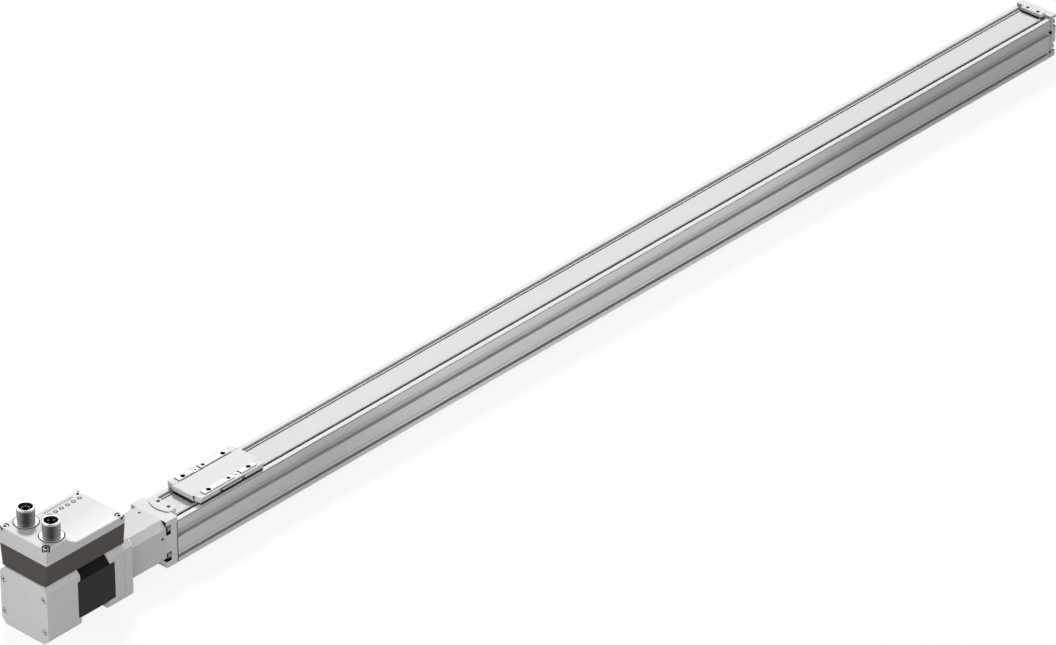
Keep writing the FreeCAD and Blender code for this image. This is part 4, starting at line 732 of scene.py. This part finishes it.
def moveVertices(piece, isVertex, shift):
    pick(piece)
    bpy.ops.object.mode_set(mode="EDIT")
    bpy.ops.mesh.select_all(action="DESELECT")
    bpy.ops.object.mode_set(mode="OBJECT")
    for vertex in piece.data.vertices:
        vertex.select = isVertex(vertex.co / mm)
    bpy.ops.object.mode_set(mode="EDIT")
    bpy.ops.transform.translate(value=Vector(shift) * mm)
    bpy.ops.object.mode_set(mode="OBJECT")


moveVertices(dressed["centre_cover"], lambda at: at.x < leanLook["front"] and at.z < leanLook["foot"],
             (leanLook["reach"], 0, 0))
moveVertices(dressed["centre_cover"], lambda at: at.x > leanLook["rear"] and at.z < leanLook["foot"],
             (-leanLook["reach"], 0, 0))

# the foot of each cheek's outer side is split off over the wipers, to take painted shade
cheekLook = {"side": 15, "footTop": 34.5, "wallTop": 37.5, "padLine": 37.72, "padTop": 38.2}


def isCheekWall(at, to):
    return abs(to.z) < halfway and at.z < cheekLook["wallTop"]


for name in (*cheeks, "side_plates"):
    splitFaces(dressed[name], isCheekWall, "z", cheekLook["footTop"])

# a cheek's side is split round its side plate, and the right one's front beside the cover, to take painted
# shade
plateEdge = {"front": -406.6, "rear": -384, "foot": 34.4, "top": 36.7, "cover": 10.05, "face": 0.93}


def isCheekSide(at, to):
    return abs(to.y) > facing and abs(at.y) > cheekLook["side"]


for name in cheeks:
    for end in ("front", "rear"):
        splitFaces(dressed[name], isCheekSide, "x", plateEdge[end])
    splitFaces(dressed[name], isCheekSide, "z", plateEdge["top"])
splitFaces(dressed["right_cheek"], lambda at, to: to.x < -facing, "y", -plateEdge["cover"])
for name in ("drive_end_cap", "idle_end_cap", "centre_cover", *cheeks, "side_plates"):
    flatten(dressed[name])
print("faces split and the cover's ends leant in")


# the strip's hems reach a little lower than its sheet
hemLook = {"inner": 9.3, "outer": 10.1, "top": 31.05, "end": 445.4, "run": 445.3, "reach": 0.62}
strip = cleanCopy("cover_strip")
wear(strip, "cover_strip", "strip")


def isHem(at):
    return abs(at.y) > hemLook["outer"] and at.z < hemLook["top"] and abs(at.x) < hemLook["run"]


for side in sides:
    splitFaces(strip, lambda at, to: to.z < -facing, "y", hemLook["inner"] * side)
    splitFaces(strip, lambda at, to: True, "x", hemLook["end"] * side)
moveVertices(strip, isHem, (0, 0, -hemLook["reach"]))
print("strip hemmed")


# painted shade on seams, undercuts and walls in shade, and paler pad tops
clampLook = {"undercutTop": 32.7, "undercutStart": 441.9, "undercutEnd": 443.7, "frontFoot": 32.8,
             "wall": 0.6, "lean": 0.15}
notchLook = {"start": 446.4, "end": 448.6, "inner": 12.2}
grubLook = {"along": -460.1, "half": 1.45, "across": 4.7, "topFoot": 33.9, "up": 24.1, "sideEdge": -14.5,
            "wall": 0.6}
coverLook = {"foot": 33.4, "edge": 9.2, "edgeFoot": 37.4}
headFoot = 37
stackTurn = 0.3
lidShade = {"wall": 0.4, "deckFoot": 62.4, "deckTop": 64.2}
bellSeam = {"along": -499.1, "half": 0.3, "least": 0.15, "most": 0.97}
rearRing = {"across": 18.4, "up": 12.1, "radius": 2.3, "wall": 0.95}


def isCapShade(at, to):
    isCorner = (to.x < -facing and at.x < cornerLook["face"] + cornerLook["slack"]
                and at.z > cornerLook["foot"] and at.y < -cornerLook["inner"])
    return isCorner or (isJointSide(at, to) and at.z < jointLook["top"])


def isClampUndercut(at, to):
    isEnd = clampLook["undercutStart"] < at.x < clampLook["undercutEnd"]
    return isEnd and at.z < clampLook["undercutTop"]


def isNotchWall(at, to):
    isEnd = notchLook["start"] < at.x < notchLook["end"]
    return isEnd and to.x < -halfway and abs(at.y) > notchLook["inner"]


def isGrubBore(at, to):
    half, wall = grubLook["half"], grubLook["wall"]
    isTop = abs(at.y - grubLook["across"]) < half and at.z > grubLook["topFoot"] and abs(to.z) < wall
    isSide = abs(at.z - grubLook["up"]) < half and at.y < grubLook["sideEdge"] and abs(to.y) < wall
    return abs(at.x - grubLook["along"]) < half and (isTop or isSide)


def isPlateShade(at, to):
    return abs(to.y) < plateEdge["face"] or at.z < cheekLook["footTop"]


def isCheekShade(at, to):
    isOuter = abs(at.y) > cheekLook["side"]
    isRound = (plateEdge["front"] < at.x < plateEdge["rear"]
               and plateEdge["foot"] < at.z < plateEdge["top"])
    isFoot = at.z < cheekLook["footTop"] and abs(to.z) < slanted["most"]
    return (isOuter and (isRound or isFoot)) or (at.z > cheekLook["padLine"] and to.x < -leaning)


def isLeftShade(at, to):
    return isCheekShade(at, to) or (at.z > cheekLook["padLine"] and to.y < -leaning)


def isRightShade(at, to):
    return isCheekShade(at, to) or (to.x < -facing and at.y > -plateEdge["cover"])


def isCoverShade(at, to):
    isFoot = at.z < coverLook["foot"] and isSlanted(abs(to.z))
    isEdge = at.y > coverLook["edge"] and at.z > coverLook["edgeFoot"] and isSlanted(to.z)
    isGap = at.y > gapEdge["side"] and gapEdge["start"] < at.x < gapEdge["end"] and to.z > facing
    return isFoot or isEdge or isGap or (at.x < stepEdge and to.y < -halfway)


def isHeadEdge(at, to):
    return at.z > headFoot and isSlanted(abs(to.z))


def isClampWall(at, to):
    return abs(to.z) < clampLook["wall"] and to.x < -clampLook["lean"]


def isPadWall(at, to):
    return at.z > cheekLook["padLine"] and to.y < -leaning and abs(to.x) < halfway


def isOverLip(at, to):
    return isIdleFront(at, to) and at.z > idleFront["lip"] and abs(at.y) > idleFront["clamp"]


def isClampFront(at, to):
    return to.x < -facing and at.z > clampLook["frontFoot"]


# painted shade: the stator's upward faces go near-black
def isStackTop(at, to):
    return to.z > stackTurn


def isBellSeam(at, to):
    isNear = abs(at.x - bellSeam["along"]) < bellSeam["half"]
    return isNear and bellSeam["least"] < abs(to.x) < bellSeam["most"]


def isRearRing(at, to):
    off = math.hypot(abs(at.y) - rearRing["across"], abs(at.z - spindleHeight) - rearRing["up"])
    return abs(to.x) < rearRing["wall"] and off < rearRing["radius"]


def isPadTop(at, to):
    return to.z > facing and at.z > cheekLook["padTop"]


def isLidWall(at, to):
    return abs(to.z) < lidShade["wall"]


def isLidDeck(at, to):
    return to.z > halfway and lidShade["deckFoot"] < at.z < lidShade["deckTop"]


shades = (
    ("drive_end_cap", isCapShade, "paintedShade"),
    ("idle_strip_clamp", isClampUndercut, "paintedShade"),
    ("idle_end_cap", isNotchWall, "paintedShade"),
    ("coupling_housing", isGrubBore, "paintedShade"),
    ("side_plates", isPlateShade, "paintedShade"),
    ("left_cheek", isLeftShade, "paintedShade"),
    ("right_cheek", isRightShade, "paintedShade"),
    ("centre_cover", isCoverShade, "paintedShade"),
    ("cheek_screws", isHeadEdge, "paintedShade"),
    ("drive_strip_clamp", isClampWall, "seamAndShade"),
    ("right_cheek", isPadWall, "seamAndShade"),
    ("idle_end_cap", isOverLip, "seamAndShade"),
    ("idle_strip_clamp", isClampFront, "dim"),
    ("stator_core", isStackTop, "paintedShade"),
    ("motor_front_bell", isBellSeam, "seamAndShade"),
    ("coupling_housing", isBellSeam, "seamAndShade"),
    ("motor_rear_bell", isRearRing, "seamAndShade"),
    ("left_cheek", isPadTop, "pad"),
    ("right_cheek", isPadTop, "pad"),
)
for name, isShaded, finish in shades:
    darken(dressed[name], isShaded, finish)
print("seams and walls shaded by", len(shades), "tests")
darken(dressed["electronics_lid"], isLidWall, "sideWall", over="lid")
darken(dressed["electronics_lid"], isLidDeck, "deck", over="lid")
print("walls and deck of the lid toned")


# hexagon sockets coloured dark as painted shade: the radius of each screw's head in mm, and the share of
# it that the socket takes
socketLook = {"share": 0.57, "rim": 0.14 * mm, "heads": {
    "end_cap_screws": 1.95, "strip_clamp_screws": 1.3, "lid_screws": 2.1, "motor_bolts": 2.75,
    "motor_rear_screws": 1.7, "cheek_screws": 1.9, "side_plate_screws": 0.6, "housing_grub_screws": 1.0}}


def loosePieces(mesh):
    # the faces of each separate solid in a mesh
    group = list(range(len(mesh.vertices)))

    def rootOf(index):
        while group[index] != index:
            group[index] = group[group[index]]
            index = group[index]
        return index
    for edge in mesh.edges:
        first, second = edge.vertices
        group[rootOf(first)] = rootOf(second)
    solids = {}
    for face in mesh.polygons:
        solids.setdefault(rootOf(face.vertices[0]), []).append(face)
    return solids.values()


def darkSockets(piece, reach, rim):
    # a socket's faces lie close round the screw's long axis, between its two ends
    mesh = piece.data
    slot = slotOf(piece, "paintedShade")
    for faces in loosePieces(mesh):
        points = [mesh.vertices[index].co for face in faces for index in face.vertices]
        low = Vector([min(point[axis] for point in points) for axis in range(3)])
        high = Vector([max(point[axis] for point in points) for axis in range(3)])
        along = max(range(3), key=lambda axis: high[axis] - low[axis])
        for face in faces:
            off = face.center - (low + high) / 2
            off[along] = 0
            if off.length < reach and low[along] + rim < face.center[along] < high[along] - rim:
                face.material_index = slot


for name, radius in socketLook["heads"].items():
    darkSockets(dressed[name], radius * socketLook["share"] * mm, socketLook["rim"])
print("sockets darkened on", len(socketLook["heads"]), "groups of screws")


# turned pieces: a plane merged to one point is drawn along an outline and spun round an upright axis
def spunPiece(name, outline, centre, steps):
    deselect()
    bpy.ops.mesh.primitive_plane_add(size=mm, location=(0, 0, 0))
    piece = bpy.context.object
    piece.name = name
    piece.data.name = name
    bpy.ops.object.mode_set(mode="EDIT")
    bpy.ops.mesh.select_all(action="SELECT")
    bpy.ops.mesh.merge(type="CENTER")
    start = Vector((centre[0] + outline[0][0], centre[1], outline[0][1]))
    bpy.ops.transform.translate(value=start)
    for (r0, z0), (r1, z1) in zip(outline, outline[1:]):
        bpy.ops.mesh.extrude_vertices_move(TRANSFORM_OT_translate={"value": (r1 - r0, 0, z1 - z0)})
    bpy.ops.mesh.select_all(action="SELECT")
    bpy.ops.mesh.spin(steps=steps, angle=math.tau, center=(centre[0], centre[1], 0), axis=(0, 0, 1))
    bpy.ops.mesh.select_all(action="SELECT")
    bpy.ops.mesh.remove_doubles(threshold=edgeLook["weld"])
    bpy.ops.mesh.normals_make_consistent(inside=False)
    bpy.ops.object.mode_set(mode="OBJECT")
    return piece


def copyTo(piece, name, shift):
    pick(piece)
    bpy.ops.object.duplicate()
    copy = bpy.context.object
    copy.name = name
    copy.data.name = name
    bpy.ops.object.mode_set(mode="EDIT")
    bpy.ops.mesh.select_all(action="SELECT")
    bpy.ops.transform.translate(value=shift)
    bpy.ops.object.mode_set(mode="OBJECT")
    return copy


# plug connectors: a threaded shell on a round flange
shellLook = {
    "stem": 5.4 * mm, "flange": 8.0 * mm, "flangeHeight": 1.1 * mm, "flangeEdge": 0.2 * mm,
    "crest": 6.0 * mm, "root": 5.35 * mm, "pitch": 1.0 * mm, "crestStart": 0.42, "crestEnd": 0.58,
    "neck": 0.7 * mm, "plainTop": 0.9 * mm, "relief": 0.1 * mm, "rim": 0.45 * mm, "bright": 1.6 * mm,
    "mouth": 4.8 * mm, "mouthDepth": 8.5 * mm, "mouthEdge": 0.15 * mm, "slack": 0.05 * mm,
    "steps": 72, "smooth": 28}


def threadedShell(name, node, look):
    low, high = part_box(node)
    centre = (low + high) / 2
    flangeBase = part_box("connector_seals")[0].z
    flangeTop = flangeBase + look["flangeHeight"]
    stem, flange, edge = look["stem"], look["flange"], look["flangeEdge"]
    crest, root, pitch = look["crest"], look["root"], look["pitch"]
    outline = [(0, low.z), (stem, low.z), (stem, flangeBase), (flange, flangeBase),
               (flange, flangeTop - edge), (flange - edge, flangeTop), (root, flangeTop)]
    z = flangeTop + look["neck"]
    outline.append((root, z))
    while z + pitch < high.z - look["plainTop"]:
        outline += [(crest, z + pitch * look["crestStart"]), (crest, z + pitch * look["crestEnd"]),
                    (root, z + pitch)]
        z += pitch
    plain, mouth = crest - look["relief"], look["mouth"]
    mouthFloor = high.z - look["mouthDepth"]
    outline += [(plain, z + look["relief"]), (plain, high.z - look["rim"]), (plain - look["rim"], high.z),
                (mouth + look["mouthEdge"], high.z), (mouth, high.z - look["mouthEdge"]),
                (mouth, mouthFloor), (0, mouthFloor)]
    shell = spunPiece(name, outline, centre, look["steps"])
    pick(shell)
    smoothTo(look["smooth"])
    dress(shell, "plated", "rim", "insertAndShade")
    # the top band and flange take the rim's painted reflections, and the mouth's walls take black painted
    # shade
    for face in shell.data.polygons:
        off = face.center - centre
        up = face.center.z
        isRim = up > high.z - look["bright"] or flangeBase < up < flangeTop + look["slack"]
        isMouth = math.hypot(off.x, off.y) < mouth + look["slack"] and up > flangeTop
        face.material_index = 2 if isMouth else 1 if isRim else 0
    return shell


powerLow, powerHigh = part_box("power_connector_shell")
signalLow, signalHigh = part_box("signal_connector_shell")
powerShell = threadedShell("powerShell", "power_connector_shell", shellLook)
signalShell = copyTo(powerShell, "signalShell", signalLow - powerLow)
for shell, node in ((powerShell, "power_connector_shell"), (signalShell, "signal_connector_shell")):
    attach(shell, bodyOf[node])
    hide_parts(node)
print("connector shells threaded")


# seals: round rubber rings under the flanges
sealLook = {"rounding": 0.2 * mm, "corner": 0.06 * mm, "gap": 0.05 * mm, "steps": 64, "smooth": 60}


def sealRing(name, node, shells, look):
    low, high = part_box(node)
    outer = high.y - max((a + b).y / 2 for a, b in shells)
    inner = shellLook["flange"] + look["gap"]
    r, corner = look["rounding"], look["corner"]
    outline = [(inner, low.z), (outer, low.z), (outer, high.z - r), (outer - corner, high.z - corner),
               (outer - r, high.z), (inner + r, high.z), (inner + corner, high.z - corner),
               (inner, high.z - r), (inner, low.z)]
    pair = []
    for index, (shellLow, shellHigh) in enumerate(shells):
        centre = (shellLow + shellHigh) / 2
        pair.append(spunPiece(f"{name}{index + 1}", outline, centre, look["steps"]))
    deselect()
    for ring in pair:
        ring.select_set(True)
    bpy.context.view_layer.objects.active = pair[0]
    bpy.ops.object.join()
    rings = bpy.context.object
    rings.name = name
    smoothTo(look["smooth"])
    dress(rings, "rubber")
    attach(rings, bodyOf[node])
    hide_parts(node)


sealRing("sealRings", "connector_seals", [(powerLow, powerHigh), (signalLow, signalHigh)], sealLook)
print("seals made")


# set keys: a crowned cap over a wider dark skirt, so that a thin ring of painted shade shows round each
setKeyLook = {
    "cap": 1.15 * mm, "capDepth": 0.5 * mm, "radius": 1.6 * mm, "skirt": 2.1 * mm, "flange": 0.7 * mm,
    "crown": 0.08 * mm, "capEdge": 0.06 * mm, "edgeDrop": 0.16 * mm, "domeReach": 0.6, "domeDrop": 0.3,
    "ringDrop": 0.12 * mm, "steps": 40, "smooth": 30}
keyCount = 6


def setKey(name, node, look):
    low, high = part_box(node)
    centre = (low + high) / 2
    top, cap, crown = high.z, look["cap"], look["crown"]
    flangeTop, capFoot = low.z + look["flange"], top - look["capDepth"]
    outline = [(0, low.z), (look["skirt"], low.z), (look["skirt"], flangeTop), (look["radius"], flangeTop),
               (look["radius"], capFoot), (cap, capFoot), (cap, top - look["edgeDrop"]),
               (cap - look["capEdge"], top - crown),
               (cap * look["domeReach"], top - crown * look["domeDrop"]), (0, top)]
    key = spunPiece(name, outline, centre, look["steps"])
    dress(key, "key", "gap")
    for face in key.data.polygons:
        corners = [key.data.vertices[index].co.z for index in face.vertices]
        face.material_index = 1 if max(corners) < top - look["ringDrop"] else 0
    pick(key)
    smoothTo(look["smooth"])
    return key


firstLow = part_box("set_key_1")[0]
firstKey = setKey("setKey1", "set_key_1", setKeyLook)
for index in range(1, keyCount + 1):
    node = f"set_key_{index}"
    key = firstKey if index == 1 else copyTo(firstKey, f"setKey{index}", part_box(node)[0] - firstLow)
    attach(key, bodyOf[node])
    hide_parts(node)
print("set keys made")


# floor and sky: white where they are seen, and dimmer in the light that they give
stageLook = {"size": 60, "bounce": 0.10, "shadow": 0.12, "sky": 0.26}


def seenRays(place):
    rays = place.node("ShaderNodeLightPath").socket.node.outputs
    seen = place.maths("MAXIMUM", Wire(rays["Is Camera Ray"]), Wire(rays["Is Glossy Ray"]))
    return place.maths("MAXIMUM", seen, Wire(rays["Is Transmission Ray"]))


def buildStage(look):
    deselect()
    bpy.ops.mesh.primitive_plane_add(size=look["size"], location=(0, 0, cadBox[0].z))
    floor = bpy.context.object
    floor.name = "studioFloor"
    finish, place = newFinish("paleFloor")
    seen = seenRays(place)
    shade = seen.between(grey(look["bounce"]), grey(1))
    diffuse = place.node("ShaderNodeBsdfDiffuse", {}, {"Color": shade})
    white = place.node("ShaderNodeEmission", {}, {"Color": (1, 1, 1, 1), "Strength": 1.0})
    share = seen * (1 - look["shadow"])
    linkSurface(finish, place.node("ShaderNodeMixShader", {}, {0: share, 1: diffuse, 2: white}))
    floor.data.materials.append(finish)

    world = bpy.data.worlds.new("studioSky")
    bpy.context.scene.world = world
    world.use_nodes = True
    tree = world.node_tree
    tree.nodes.clear()
    surface = Wire(tree.nodes.new("ShaderNodeOutputWorld").inputs["Surface"])
    strength = seenRays(surface) * (1 - look["sky"]) + look["sky"]
    sky = surface.node("ShaderNodeBackground", {}, {"Color": (1, 1, 1, 1), "Strength": strength})
    tree.links.new(sky.socket, surface.socket)


# two suns: the key stands behind the object, the fill before its long side
sunLook = {"energy": 2.58, "angle": 11, "tilt": (-30, 31.3), "place": (0, 0, 3)}
fillLook = {"energy": 0.94, "angle": 60, "tilt": (53.1, -56.4), "place": (0, 0, 3)}


def buildSun(name, look):
    bpy.ops.object.light_add(type="SUN", location=look["place"])
    sun = bpy.context.object
    sun.name = name
    sun.data.energy = look["energy"]
    sun.data.angle = math.radians(look["angle"])
    tiltX, tiltY = look["tilt"]
    sun.rotation_euler = (math.radians(tiltX), math.radians(tiltY), 0)


# softboxes: two face the long side, one at its middle and one at the motor, and one faces the motor's end
sideLook = {"power": 0.108, "width": 0.45, "height": 0.25, "place": (-0.03, -1.0, 0.12), "spread": 10,
            "turn": 0}
motorLook = {"power": 0.14, "width": 0.25, "height": 0.2, "place": (-0.43, -0.5, 0.12), "spread": 180,
             "turn": 0}
frontLook = {"power": 1.38, "width": 0.4, "height": 0.25, "place": (-1.05, -0.16, 0.12), "spread": 180,
             "turn": -90}


def buildSoftbox(name, look):
    bpy.ops.object.light_add(type="AREA", location=look["place"])
    box = bpy.context.object
    box.name = name
    box.data.shape = "RECTANGLE"
    box.data.size = look["width"]
    box.data.size_y = look["height"]
    box.data.spread = math.radians(look["spread"])
    box.data.energy = look["power"]
    box.rotation_euler = (math.radians(90), 0, math.radians(look["turn"]))


cameraLook = {"place": (-3.0000, -2.6650, 2.4560), "pitch": 31.771, "yaw": 42.543, "focalPixels": 6850.723,
              "imageWidth": 1056, "sensor": 36.0, "near": 0.1, "far": 100}


def buildCamera(look):
    bpy.ops.object.camera_add(location=look["place"])
    camera = bpy.context.object
    camera.name = "photoCamera"
    camera.rotation_euler = (math.radians(90 - look["pitch"]), 0, math.radians(look["yaw"] - 90))
    camera.data.sensor_fit = "HORIZONTAL"
    camera.data.sensor_width = look["sensor"]
    camera.data.lens = look["focalPixels"] * look["sensor"] / look["imageWidth"]
    camera.data.clip_start = look["near"]
    camera.data.clip_end = look["far"]
    bpy.context.scene.camera = camera


buildStage(stageLook)
buildSun("keySun", sunLook)
buildSun("fillSun", fillLook)
buildSoftbox("sideSoftbox", sideLook)
buildSoftbox("motorSoftbox", motorLook)
buildSoftbox("frontSoftbox", frontLook)
buildCamera(cameraLook)
bpy.context.scene.view_settings.view_transform = "Standard"
print("stage and camera ready")
